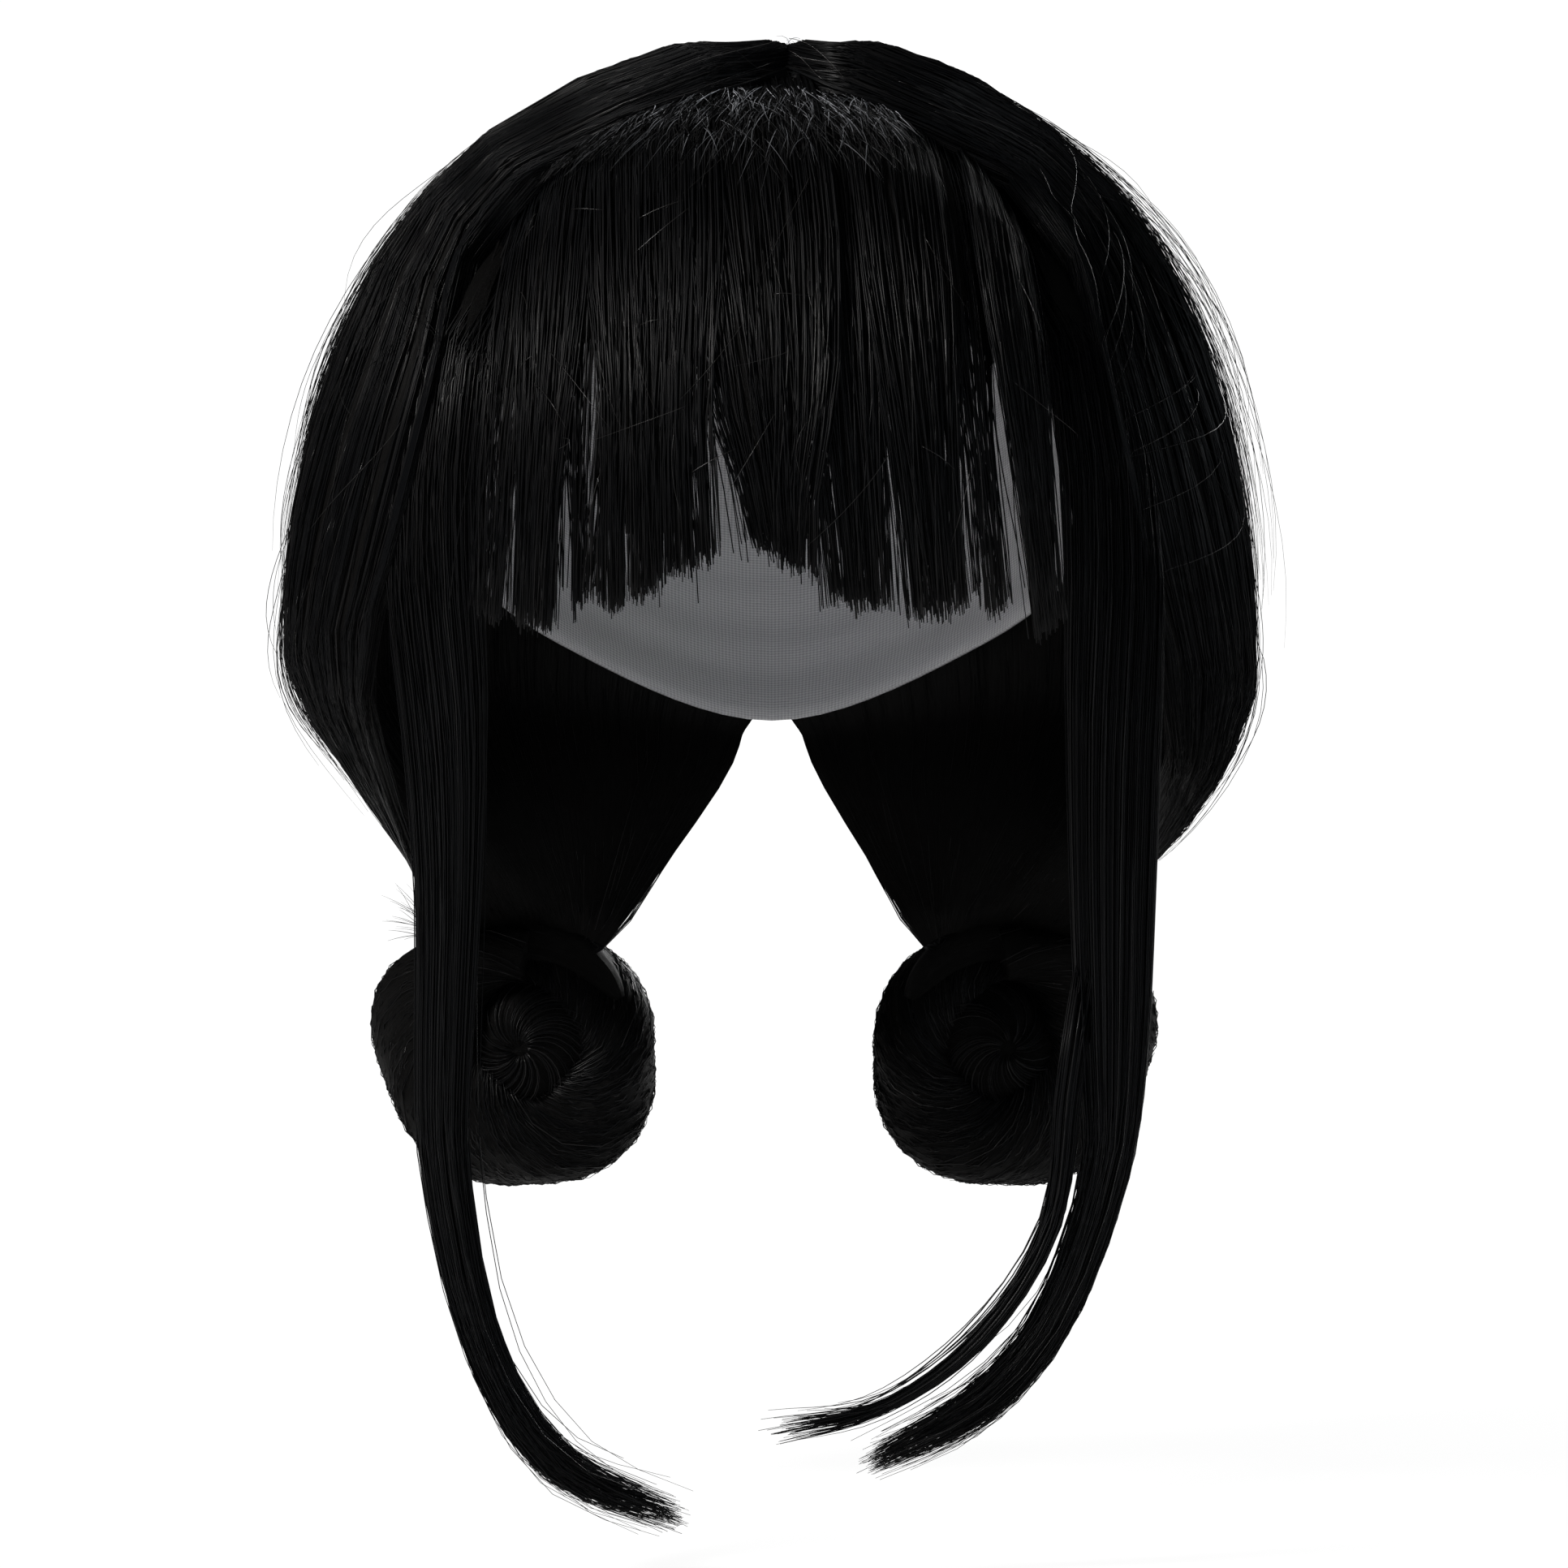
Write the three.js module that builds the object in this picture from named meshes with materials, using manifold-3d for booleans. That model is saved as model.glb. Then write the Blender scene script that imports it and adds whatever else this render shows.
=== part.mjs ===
// Double bun wig: straight black hair sewn to a thin cap.
// The hair is parted along the middle of the crown, falls over each side in a rounded sweep, and is
// gathered behind the neck into two coiled buns. A blunt fringe hangs over the forehead, and a long
// lock hangs in front of each ear with its tip curled inward.
// Units are millimetres. +Z is up, the face opening looks along -Y, and left is -X.
// The origin is the inside of the cap at the crown, where the top of the head bears on it.

import * as THREE from "three";
import { mergeVertices } from "three/addons/utils/BufferGeometryUtils.js";
import Module from "manifold-3d";

const wasm = await Module();
wasm.setup();

const DEGREE = Math.PI / 180;
// Clear space that is left where one piece is cut to fit its neighbour.
const GAP = 0.35;
// Vertices closer than this are one vertex.
const WELD = 0.001;
// The small share of a curve's length over which its direction is taken.
const STEP = 0.01;
// How often a span is halved to find a place on a curve.
const HALVINGS = 30;

// The head that fills the cap is half an egg: its middle lies HEAD.height below the origin.
const HEAD = { halfWidth: 73, halfDepth: 92, height: 98 };
const CAP = { wall: 1.6, around: 32, down: 7, clearance: 0.5 };
// How far down the cap's rim comes, from the forehead (0 degrees) round the ear to the nape (180).
// The first and last rows repeat the neighbours of both on the far side, so the rim is level there.
const CAP_RIM = [
  { azimuth: -50, z: -70 },
  { azimuth: 0, z: -45 },
  { azimuth: 50, z: -70 },
  { azimuth: 90, z: -95 },
  { azimuth: 135, z: -122 },
  { azimuth: 180, z: -140 },
  { azimuth: 225, z: -122 },
];

// The outer form of the crown hair in level sections, from the top of the hair to its lower lip.
const TOP = 14;
const SECTIONS = [
  { z: TOP, halfWidth: 0, front: 0, back: 0 },
  { z: 10, halfWidth: 29, front: 33, back: 35 },
  { z: 3.8, halfWidth: 45, front: 47, back: 53 },
  { z: -3.5, halfWidth: 57, front: 55, back: 63 },
  { z: -12.6, halfWidth: 69, front: 63, back: 73 },
  { z: -35, halfWidth: 88.6, front: 83, back: 90 },
  { z: -62, halfWidth: 101.2, front: 95, back: 101 },
  { z: -96, halfWidth: 109.5, front: 101, back: 107 },
  { z: -120, halfWidth: 111, front: 103, back: 107 },
  { z: -144, halfWidth: 108.5, front: 101, back: 103 },
  { z: -156, halfWidth: 103.5, front: 97, back: 96 },
  { z: -164, halfWidth: 97, front: 94, back: 90 },
  { z: -173, halfWidth: 87, front: 90, back: 82 },
];
// A section is a superellipse: narrow towards the face and full behind.
const ROUNDNESS = { front: 1.5, back: 2.2 };

const PARTING_X = 4;
// How the crown hair runs on each side, one row for each guide from the face round to the back parting.
// Each guide leaves the parting at root (an azimuth and a height), passes over the top of the head, its
// side, the widest place and the tuck under the lip, and ends on its bun at an angle.
const CROWN_GUIDES = [
  { root: [0, 7.6], over: [51, -20], side: [51, -62], wide: [54, -112], tuck: [66, -160], bun: 50 },
  { root: [0, 11], over: [68, -10], side: [70, -56], wide: [76, -114], tuck: [88, -167], bun: 62 },
  { root: [90, TOP], over: [90, -7], side: [92, -54], wide: [98, -116], tuck: [109, -171], bun: 76 },
  { root: [180, 10], over: [118, -12], side: [116, -58], wide: [118, -116], tuck: [124, -170], bun: 93 },
  { root: [180, -6], over: [148, -30], side: [142, -74], wide: [140, -118], tuck: [142, -164], bun: 112 },
  { root: [180, -42], over: [180, -70], side: [180, -98], wide: [179, -130], tuck: [174, -156], bun: 130 },
];
// The left side's lip is tucked up higher than the right side's. The rise fades out towards the nape.
const LIP_RISE = { left: 12, right: 0 };
const CROWN = {
  across: 24,
  along: 14,
  onEnvelope: 9,
  riseFrom: 0.5,
  ribs: 8,
  ribDepth: 1.8,
  partingGroove: 3.2,
  partingShare: 0.07,
  shiftShare: 0.25,
  edgeThin: 0.45,
  edgeShare: 0.15,
};
// Thickness of the crown hair along its length. It thins to CROWN.edgeThin of this at the face.
const CROWN_THICKNESS = [
  { share: 0, thickness: 14 },
  { share: 0.35, thickness: 13 },
  { share: 0.65, thickness: 11 },
  { share: 0.85, thickness: 6 },
  { share: 1, thickness: 4 },
];

// The fringe's locks from left to right: where each leaves the root band and where its cut end hangs.
// A lock keeps its root's width down to FRINGE.splitShare, and from there changes to its tip's width.
const FRINGE_LOCKS = [
  { root: -50, tip: -60, tipZ: -120, rootWidth: 9, tipWidth: 5, lift: 9.2 },
  { root: -44, tip: -50, tipZ: -121, rootWidth: 13, tipWidth: 11, lift: 11 },
  { root: -36, tip: -39, tipZ: -117, rootWidth: 12, tipWidth: 5, lift: 9 },
  { root: -26, tip: -23.5, tipZ: -113, rootWidth: 23, tipWidth: 25, lift: 11 },
  { root: -7, tip: 3, tipZ: -108, rootWidth: 27, tipWidth: 11, lift: 10.4 },
  { root: 9, tip: 19.5, tipZ: -117, rootWidth: 16, tipWidth: 10, lift: 9.4 },
  { root: 23, tip: 35, tipZ: -119, rootWidth: 17, tipWidth: 11, lift: 11 },
  { root: 35, tip: 47, tipZ: -118, rootWidth: 9, tipWidth: 5, lift: 9 },
  { root: 46, tip: 59.5, tipZ: -121, rootWidth: 14, tipWidth: 11, lift: 10.6 },
];
const FRINGE = {
  thickness: 4.6,
  sides: 8,
  steps: 9,
  rootLift: 5,
  liftShare: 0.3,
  splitShare: 0.7,
  rootY: -42,
  rootCurve: 14,
  rootReach: 50,
  bandFrom: -55,
  bandTo: 53,
  bandWidth: 9,
  bandTop: 6.4,
  bandSteps: 14,
};

// Stations down each side lock: x is measured outward from the middle, half and thick are half sizes,
// and face is how far the flat of the lock is turned from the front to the side, in degrees.
const SIDE_LOCK_LEFT = [
  { x: 48, y: -24, z: -21, half: 8, thick: 3.5, face: 35 },
  { x: 64, y: -44, z: -48, half: 12.5, thick: 4, face: 50 },
  { x: 71, y: -49, z: -78, half: 13.5, thick: 4.5, face: 45 },
  { x: 73, y: -51, z: -110, half: 12, thick: 5, face: 25 },
  { x: 71, y: -49, z: -144, half: 9.5, thick: 5.5, face: 5 },
  { x: 70.5, y: -46, z: -180, half: 7.4, thick: 5.5, face: 0 },
  { x: 71.5, y: -45, z: -215, half: 6.6, thick: 5, face: 0 },
  { x: 71, y: -45, z: -241, half: 6, thick: 4.5, face: 0 },
  { x: 63, y: -46, z: -278, half: 5.2, thick: 4, face: 0 },
  { x: 47, y: -48, z: -304, half: 4.8, thick: 3.4, face: 0 },
  { x: 20, y: -50, z: -316, half: 1.2, thick: 0.8, face: 0 },
];
const SIDE_LOCK_RIGHT = [
  { x: 48, y: -24, z: -21, half: 8, thick: 3.5, face: 35 },
  { x: 64, y: -44, z: -48, half: 12.5, thick: 4, face: 50 },
  { x: 72, y: -49, z: -78, half: 13.5, thick: 4.5, face: 45 },
  { x: 75, y: -51, z: -110, half: 12, thick: 5, face: 25 },
  { x: 75, y: -49, z: -144, half: 10.5, thick: 5.5, face: 5 },
  { x: 75, y: -46, z: -180, half: 9.4, thick: 5.5, face: 0 },
  { x: 75, y: -45, z: -215, half: 8, thick: 5, face: 0 },
  { x: 73.5, y: -45, z: -241, half: 5.6, thick: 4.2, face: 0 },
  { x: 62.5, y: -46, z: -272, half: 5, thick: 3.8, face: 0 },
  { x: 46, y: -48, z: -291.5, half: 4.2, thick: 3, face: 0 },
  { x: 22, y: -50, z: -304, half: 1.2, thick: 0.8, face: 0 },
];
// The thin lock that leaves the right side lock on its inner side.
const INNER_LOCK_RIGHT = [
  { x: 69, y: -47, z: -196, half: 3, thick: 3, face: 0 },
  { x: 65, y: -48, z: -222, half: 3, thick: 2.6, face: 0 },
  { x: 61, y: -49, z: -252, half: 2.3, thick: 2, face: 0 },
  { x: 46, y: -51, z: -276, half: 2, thick: 1.6, face: 0 },
  { x: 25, y: -53, z: -291, half: 1.5, thick: 1.2, face: 0 },
  { x: 2, y: -54, z: -296, half: 0.7, thick: 0.6, face: 0 },
];
const SIDE_LOCK = { sides: 12, steps: 22, innerSides: 8, innerSteps: 16 };

// Each bun is one thick twisted rope of hair, coiled about a level axis that runs to the back.
const BUN = {
  leftX: 60,
  rightX: 56.5,
  y: 80,
  z: -219,
  rope: 14.5,
  outerTurn: 22,
  innerTurn: 7,
  lean: 0.12,
  turns: 1.6,
  startAngle: 100,
  startY: -10,
  endY: 17,
  arcs: 4,
  arcOverlap: 0.04,
  steps: 7,
  sides: 10,
  lobes: 3,
  lobeDepth: 0.07,
  twists: 2.5,
  endSize: 0.45,
  endShare: 0.14,
  core: 20,
  coreY: 3,
  gatherRadius: 30,
  gatherY: -5,
};

const HAIR = new THREE.MeshStandardMaterial({ color: 0x0c0b0c, roughness: 0.36, metalness: 0 });
const CAP_NET = new THREE.MeshStandardMaterial({ color: 0x161517, roughness: 0.85, metalness: 0 });

const mix = THREE.MathUtils.lerp;

/** Reads a column of a table between its rows, where `key` rises or falls along the rows. */
function readTable(rows, key, column, at, warp = (value) => value) {
  const place = warp(at);
  for (let i = 1; i < rows.length; i++) {
    const from = warp(rows[i - 1][key]);
    const to = warp(rows[i][key]);
    const share = (place - from) / (to - from);
    if (share <= 1 || i === rows.length - 1) {
      return mix(rows[i - 1][column], rows[i][column], THREE.MathUtils.clamp(share, 0, 1));
    }
  }
}

/** Reads a column of a table on a smooth curve through its rows. */
function readSmooth(rows, key, column, at) {
  const curve = curveThrough(rows.map((row) => new THREE.Vector3(row[key], row[column], 0)));
  let [low, high] = [0, 1];
  for (let i = 0; i < HALVINGS; i++) {
    const middle = (low + high) / 2;
    if (curve.getPoint(middle).x < at) low = middle;
    else high = middle;
  }
  return curve.getPoint(low).y;
}

/** Depth below the top of the hair, on a scale that opens up the flat top of the dome. */
const drop = (z) => Math.sqrt(Math.max(0, TOP - z));

/** A smooth curve through points. */
const curveThrough = (points) => new THREE.CatmullRomCurve3(points, false, "catmullrom");

/** A closed solid from a three.js primitive whose vertices are moved by `place(position, uv)`. */
function formed(primitive, place) {
  const position = primitive.getAttribute("position");
  const uv = primitive.getAttribute("uv");
  const moved = new Float32Array(position.count * 3);
  for (let i = 0; i < position.count; i++) {
    const from = new THREE.Vector3().fromBufferAttribute(position, i);
    const at = new THREE.Vector2().fromBufferAttribute(uv, i);
    place(from, at).toArray(moved, i * 3);
  }
  const placed = new THREE.BufferGeometry();
  placed.setAttribute("position", new THREE.BufferAttribute(moved, 3));
  placed.setIndex(primitive.index);
  return toSolid(mergeVertices(placed, WELD));
}

/** The manifold body of a merged geometry, with its faces turned outward. */
function toSolid(geometry) {
  const points = geometry.getAttribute("position").array;
  const index = geometry.index.array;
  const corner = (i) => new THREE.Vector3().fromArray(points, i * 3);
  const triangles = [];
  let volume = 0;
  for (let i = 0; i < index.length; i += 3) {
    const [a, b, c] = [index[i], index[i + 1], index[i + 2]];
    if (a === b || b === c || c === a) continue;
    triangles.push([a, b, c]);
    volume += corner(a).dot(corner(b).cross(corner(c)));
  }
  const outward = volume > 0 ? triangles : triangles.map(([a, b, c]) => [a, c, b]);
  const triVerts = new Uint32Array(outward.flat());
  const vertProperties = new Float32Array(points);
  return new wasm.Manifold(new wasm.Mesh({ numProp: 3, vertProperties, triVerts }));
}

/** The three.js geometry of a manifold body. */
function toGeometry(solid) {
  const mesh = solid.getMesh();
  const geometry = new THREE.BufferGeometry();
  geometry.setAttribute("position", new THREE.BufferAttribute(new Float32Array(mesh.vertProperties), 3));
  geometry.setIndex(new THREE.BufferAttribute(new Uint32Array(mesh.triVerts), 1));
  geometry.computeVertexNormals();
  return geometry;
}

const headMiddle = new THREE.Vector3(0, 0, -HEAD.height);

/** The head's half axes, grown by `lift` on every side. */
const headAxes = (lift) =>
  new THREE.Vector3(HEAD.halfWidth + lift, HEAD.halfDepth + lift, HEAD.height + lift);

/** Pushes a point straight out from the middle of the head until it clears the cap. */
function clearOfCap(point) {
  const fromMiddle = point.clone().sub(headMiddle);
  const share = fromMiddle.clone().divide(headAxes(CAP.wall + CAP.clearance)).length();
  return share < 1 ? fromMiddle.divideScalar(share).add(headMiddle) : point;
}

/** A dome over the head between two lifts, open below at the cap's rim, which hangs `longer` than it is. */
function makeDome(outerLift, innerLift, longer = 0) {
  const profile = [];
  const last = 2 * CAP.down + 1;
  for (let i = 0; i <= last; i++) profile.push(new THREE.Vector2(i === 0 || i === last ? 0 : 1, i));
  return formed(new THREE.LatheGeometry(profile, CAP.around), (_, uv) => {
    const azimuth = uv.x * 360;
    const row = Math.round(uv.y * last);
    const outside = row <= CAP.down;
    const share = (outside ? row : last - row) / CAP.down;
    const rimZ = readSmooth(CAP_RIM, "azimuth", "z", azimuth <= 180 ? azimuth : 360 - azimuth);
    const tilt = share * Math.acos((rimZ - longer + HEAD.height) / HEAD.height);
    const around = azimuth * DEGREE;
    const direction = new THREE.Vector3(
      Math.sin(tilt) * Math.sin(around),
      -Math.sin(tilt) * Math.cos(around),
      Math.cos(tilt),
    );
    return direction.multiply(headAxes(outside ? outerLift : innerLift)).add(headMiddle);
  });
}

/** A point of the hair's outer form, from its azimuth round the head and its drop below the top. */
function onEnvelope(azimuth, depth) {
  const z = TOP - depth * depth;
  const angle = azimuth * DEGREE;
  const inFront = azimuth < 90;
  const power = 2 / (inFront ? ROUNDNESS.front : ROUNDNESS.back);
  const reach = readTable(SECTIONS, "z", inFront ? "front" : "back", z, drop);
  const x = readTable(SECTIONS, "z", "halfWidth", z, drop) * Math.abs(Math.sin(angle)) ** power;
  const y = -Math.sign(Math.cos(angle)) * reach * Math.abs(Math.cos(angle)) ** power;
  return new THREE.Vector3(x, y, z);
}

/** How far from the middle the bun on one side (-1 left, 1 right) is. */
const bunX = (side) => (side < 0 ? BUN.leftX : BUN.rightX);

/** One guide of the crown hair, from the parting over a risen lip to a bun at `bunMiddle`, x outward. */
function crownGuide(row, bunMiddle, lipRise) {
  const stations = [row.root, row.over, row.side, row.wide, row.tuck];
  const plan = curveThrough(stations.map(([azimuth, z]) => new THREE.Vector3(azimuth, drop(z), 0)));
  const points = [];
  for (let i = 0; i < CROWN.onEnvelope; i++) {
    const share = i / (CROWN.onEnvelope - 1);
    const at = plan.getPoint(share);
    const point = onEnvelope(at.x, at.y);
    point.z += lipRise * THREE.MathUtils.smoothstep(share, CROWN.riseFrom, 1);
    points.push(point);
  }
  const angle = row.bun * DEGREE;
  const gatherX = bunMiddle + BUN.gatherRadius * Math.cos(angle);
  const gatherZ = BUN.z + BUN.gatherRadius * Math.sin(angle);
  points.push(new THREE.Vector3(gatherX, BUN.y + BUN.gatherY, gatherZ));
  return curveThrough(points);
}

/** A point of the crown hair's smooth outer form: u runs from the face to the back, v from root to bun. */
const crownForm = (guides, u, v) => curveThrough(guides.map((guide) => guide.getPoint(v))).getPoint(u);

/** The outward direction of the crown hair at a point of its form. */
function crownNormal(guides, u, v) {
  const across = crownForm(guides, Math.min(1, u + STEP), v);
  across.sub(crownForm(guides, Math.max(0, u - STEP), v));
  const along = crownForm(guides, u, Math.min(1, v + STEP));
  along.sub(crownForm(guides, u, Math.max(0, v - STEP)));
  return along.cross(across).normalize();
}

/** The crown hair on one side (-1 left, 1 right): a ribbed wall that is hollow over the head. */
function makeCrownHair(side) {
  const lipRise = side < 0 ? LIP_RISE.left : LIP_RISE.right;
  const last = CROWN_GUIDES.length - 1;
  const guides = CROWN_GUIDES.map((row, i) => crownGuide(row, bunX(side), lipRise * (1 - i / last)));
  const sheet = new THREE.BoxGeometry(1, 1, 1, CROWN.across, 1, CROWN.along);
  return formed(sheet, (corner) => {
    const [u, depth, v] = [corner.x + 0.5, 0.5 - corner.y, corner.z + 0.5];
    const groove = 1 - Math.abs(Math.sin(Math.PI * CROWN.ribs * u));
    const nearParting = Math.max(0, 1 - v / CROWN.partingShare);
    const sunk = CROWN.ribDepth * groove * Math.sin(Math.PI * v) + CROWN.partingGroove * nearParting ** 2;
    const edge = mix(CROWN.edgeThin, 1, THREE.MathUtils.smoothstep(u, 0, CROWN.edgeShare));
    const thickness = edge * readTable(CROWN_THICKNESS, "share", "thickness", v);
    const inward = -mix(sunk, thickness, depth);
    const point = crownForm(guides, u, v).addScaledVector(crownNormal(guides, u, v), inward);
    point.x = side * Math.max(point.x, GAP) + PARTING_X * Math.max(0, 1 - v / CROWN.shiftShare);
    return clearOfCap(point);
  });
}

/** A closed lock with a lens section: `frameAt(share)` gives its middle, half width and half thickness. */
function makeLock(sides, steps, frameAt) {
  return formed(new THREE.CylinderGeometry(1, 1, 1, sides, steps), (corner) => {
    const { middle, wide, thick } = frameAt(0.5 - corner.y);
    return middle.clone().addScaledVector(wide, corner.x).addScaledVector(thick, corner.z);
  });
}

/** A point over the forehead: x across, `tilt` from upright and `lift` above the head. */
function onForehead(x, tilt, lift) {
  const axes = headAxes(lift);
  const round = Math.sqrt(1 - (x / axes.x) ** 2);
  const point = new THREE.Vector3(x, -axes.y * round * Math.sin(tilt), axes.z * round * Math.cos(tilt));
  return point.add(headMiddle);
}

/** How far the fringe's root line is tilted forward from upright at x. */
function rootTilt(x) {
  const axes = headAxes(FRINGE.rootLift);
  const rootY = FRINGE.rootY + FRINGE.rootCurve * (x / FRINGE.rootReach) ** 2;
  return Math.asin(-rootY / (axes.y * Math.sqrt(1 - (x / axes.x) ** 2)));
}

/** One lock of the fringe, grown on every side by `grow`. */
function makeFringeLock(row, grow) {
  const axes = headAxes(row.lift);
  const tipRound = Math.sqrt(1 - (row.tip / axes.x) ** 2);
  const tipTilt = Math.acos((row.tipZ - grow + HEAD.height) / (axes.z * tipRound));
  const along = (share) => {
    const lift = mix(FRINGE.rootLift, row.lift, THREE.MathUtils.smoothstep(share, 0, FRINGE.liftShare));
    return onForehead(mix(row.root, row.tip, share), mix(rootTilt(row.root), tipTilt, share), lift);
  };
  return makeLock(FRINGE.sides, FRINGE.steps, (share) => {
    const middle = along(share);
    const outward = middle.clone().sub(headMiddle).divide(headAxes(0)).divide(headAxes(0)).normalize();
    const downward = along(share + STEP).sub(along(share - STEP)).normalize();
    const wide = downward.clone().cross(outward).normalize();
    const split = THREE.MathUtils.smoothstep(share, FRINGE.splitShare, 1);
    wide.multiplyScalar(mix(row.rootWidth, row.tipWidth, split) / 2 + grow);
    return { middle, wide, thick: outward.multiplyScalar(FRINGE.thickness / 2 + grow) };
  });
}

/** The band along the fringe's roots, from the head outward, before it is cut to fit the cap. */
function makeFringeBand(grow) {
  const strip = new THREE.BoxGeometry(1, 1, 1, FRINGE.bandSteps, 1, 1);
  return formed(strip, (corner) => {
    const x = mix(FRINGE.bandFrom - grow, FRINGE.bandTo + grow, corner.x + 0.5);
    const lift = corner.y < 0 ? 0 : FRINGE.bandTop + grow;
    const turn = (corner.z * (FRINGE.bandWidth + 2 * grow)) / HEAD.height;
    return onForehead(x, rootTilt(x) + turn, lift);
  });
}

/** The fringe: its locks fused to the root band. */
function makeFringe(grow = 0) {
  const locks = FRINGE_LOCKS.map((row) => makeFringeLock(row, grow));
  return locks.reduce((whole, lock) => whole.add(lock), makeFringeBand(grow));
}

/** A hanging lock on one side through its stations, grown on every side by `grow`. */
function makeHangingLock(side, stations, sides, steps, grow) {
  const path = curveThrough(stations.map(({ x, y, z }) => new THREE.Vector3(side * x, y, z)));
  const size = curveThrough(stations.map(({ half, thick, face }) => new THREE.Vector3(half, thick, face)));
  return makeLock(sides, steps, (share) => {
    const { x: half, y: thick, z: face } = size.getPoint(share);
    const forward = new THREE.Vector3(side * Math.sin(face * DEGREE), -Math.cos(face * DEGREE), 0);
    const wide = path.getTangent(share).cross(forward).normalize();
    return {
      middle: clearOfCap(path.getPoint(share)),
      wide: wide.multiplyScalar(half + grow),
      thick: forward.multiplyScalar(thick + grow),
    };
  });
}

function makeSideLockLeft(grow = 0) {
  return makeHangingLock(-1, SIDE_LOCK_LEFT, SIDE_LOCK.sides, SIDE_LOCK.steps, grow);
}

function makeSideLockRight(grow = 0) {
  const main = makeHangingLock(1, SIDE_LOCK_RIGHT, SIDE_LOCK.sides, SIDE_LOCK.steps, grow);
  const inner = makeHangingLock(1, INNER_LOCK_RIGHT, SIDE_LOCK.innerSides, SIDE_LOCK.innerSteps, grow);
  return main.add(inner);
}

/** The middle line of a bun's rope at a share of its length. x is outward and leans out with height. */
function coilPoint(share) {
  const angle = (BUN.startAngle - 360 * BUN.turns * share) * DEGREE;
  const radius = mix(BUN.outerTurn, BUN.innerTurn, share * share);
  const y = BUN.y + mix(BUN.startY, BUN.endY, share);
  const rise = radius * Math.sin(angle);
  return new THREE.Vector3(radius * Math.cos(angle) + BUN.lean * rise, y, BUN.z + rise);
}

/** A point on the rope's twisted, lobed surface, at an angle round the rope. */
function ropePoint(share, turn, grow) {
  const back = new THREE.Vector3(0, 1, 0);
  const tangent = coilPoint(share + STEP).sub(coilPoint(share - STEP)).normalize();
  const outward = tangent.clone().cross(back).normalize();
  const across = outward.clone().cross(tangent);
  const lobe = 1 + BUN.lobeDepth * Math.cos(BUN.lobes * (turn - 2 * Math.PI * BUN.twists * share));
  const fromEnd = THREE.MathUtils.smoothstep(Math.min(share, 1 - share), 0, BUN.endShare);
  const radius = BUN.rope * lobe * mix(BUN.endSize, 1, fromEnd) + grow;
  const point = coilPoint(share).addScaledVector(outward, radius * Math.cos(turn));
  return point.addScaledVector(across, radius * Math.sin(turn));
}

/** A bun on one side: a full middle wound with overlapping arcs of one coiled rope. */
function makeBun(side, grow = 0) {
  const mirror = new THREE.Vector3(side, 1, 1);
  const outward = new THREE.Vector3(bunX(side), 0, 0);
  const middle = new THREE.Vector3(0, BUN.y + BUN.coreY, BUN.z);
  const sphere = new THREE.SphereGeometry(BUN.core, BUN.sides, BUN.steps);
  let whole = formed(sphere, (corner) => corner.add(middle).add(outward).multiply(mirror));
  for (let i = 0; i < BUN.arcs; i++) {
    const from = Math.max(0, i / BUN.arcs - BUN.arcOverlap);
    const to = (i + 1) / BUN.arcs;
    const arc = formed(new THREE.CylinderGeometry(1, 1, 1, BUN.sides, BUN.steps), (corner) => {
      const share = mix(from, to, 0.5 - corner.y);
      const onAxis = Math.hypot(corner.x, corner.z) < 0.5;
      const point = onAxis ? coilPoint(share) : ropePoint(share, Math.atan2(corner.z, corner.x), grow);
      return point.add(outward).multiply(mirror);
    });
    whole = whole.add(arc);
  }
  return whole;
}

const capRoom = makeDome(CAP.wall + GAP, -HEAD.halfWidth / 2, GAP);
const fringe = makeFringe().subtract(capRoom);
const fringeRoom = makeFringe(GAP);
const fitted = (solid, ...rooms) => rooms.reduce((rest, room) => rest.subtract(room), solid);
const leftRooms = [capRoom, fringeRoom, makeSideLockLeft(GAP), makeBun(-1, GAP)];
const rightRooms = [capRoom, fringeRoom, makeSideLockRight(GAP), makeBun(1, GAP)];

const pieces = [
  ["cap", makeDome(CAP.wall, 0), CAP_NET],
  ["crown_hair_left", fitted(makeCrownHair(-1), ...leftRooms), HAIR],
  ["crown_hair_right", fitted(makeCrownHair(1), ...rightRooms), HAIR],
  ["fringe", fringe, HAIR],
  ["side_lock_left", fitted(makeSideLockLeft(), capRoom, fringeRoom), HAIR],
  ["side_lock_right", fitted(makeSideLockRight(), capRoom, fringeRoom), HAIR],
  ["bun_left", makeBun(-1), HAIR],
  ["bun_right", makeBun(1), HAIR],
];

const wig = new THREE.Group();
for (const [name, solid, material] of pieces) {
  const mesh = new THREE.Mesh(toGeometry(solid), material);
  mesh.name = name;
  wig.add(mesh);
}

export default wig;
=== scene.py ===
# %% [markdown]
# # A double bun wig
# The wig is straight, glossy black hair sewn to a thin cap. It is parted along the middle, swept over
# both sides, and gathered low behind into two coiled buns, with a fringe and two long side locks.
# The packed CAD model gives the place and the outer form of every piece. Here each piece is dressed as
# what it is: many thin strands over a dark mass of hair.

# %% Load the frame
import math

import bpy
import numpy as np
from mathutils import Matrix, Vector
from numpy import arange, array, clip, cos, cross, linspace, maximum, minimum, pi, radians
from numpy import sin, sqrt, stack, where


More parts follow.
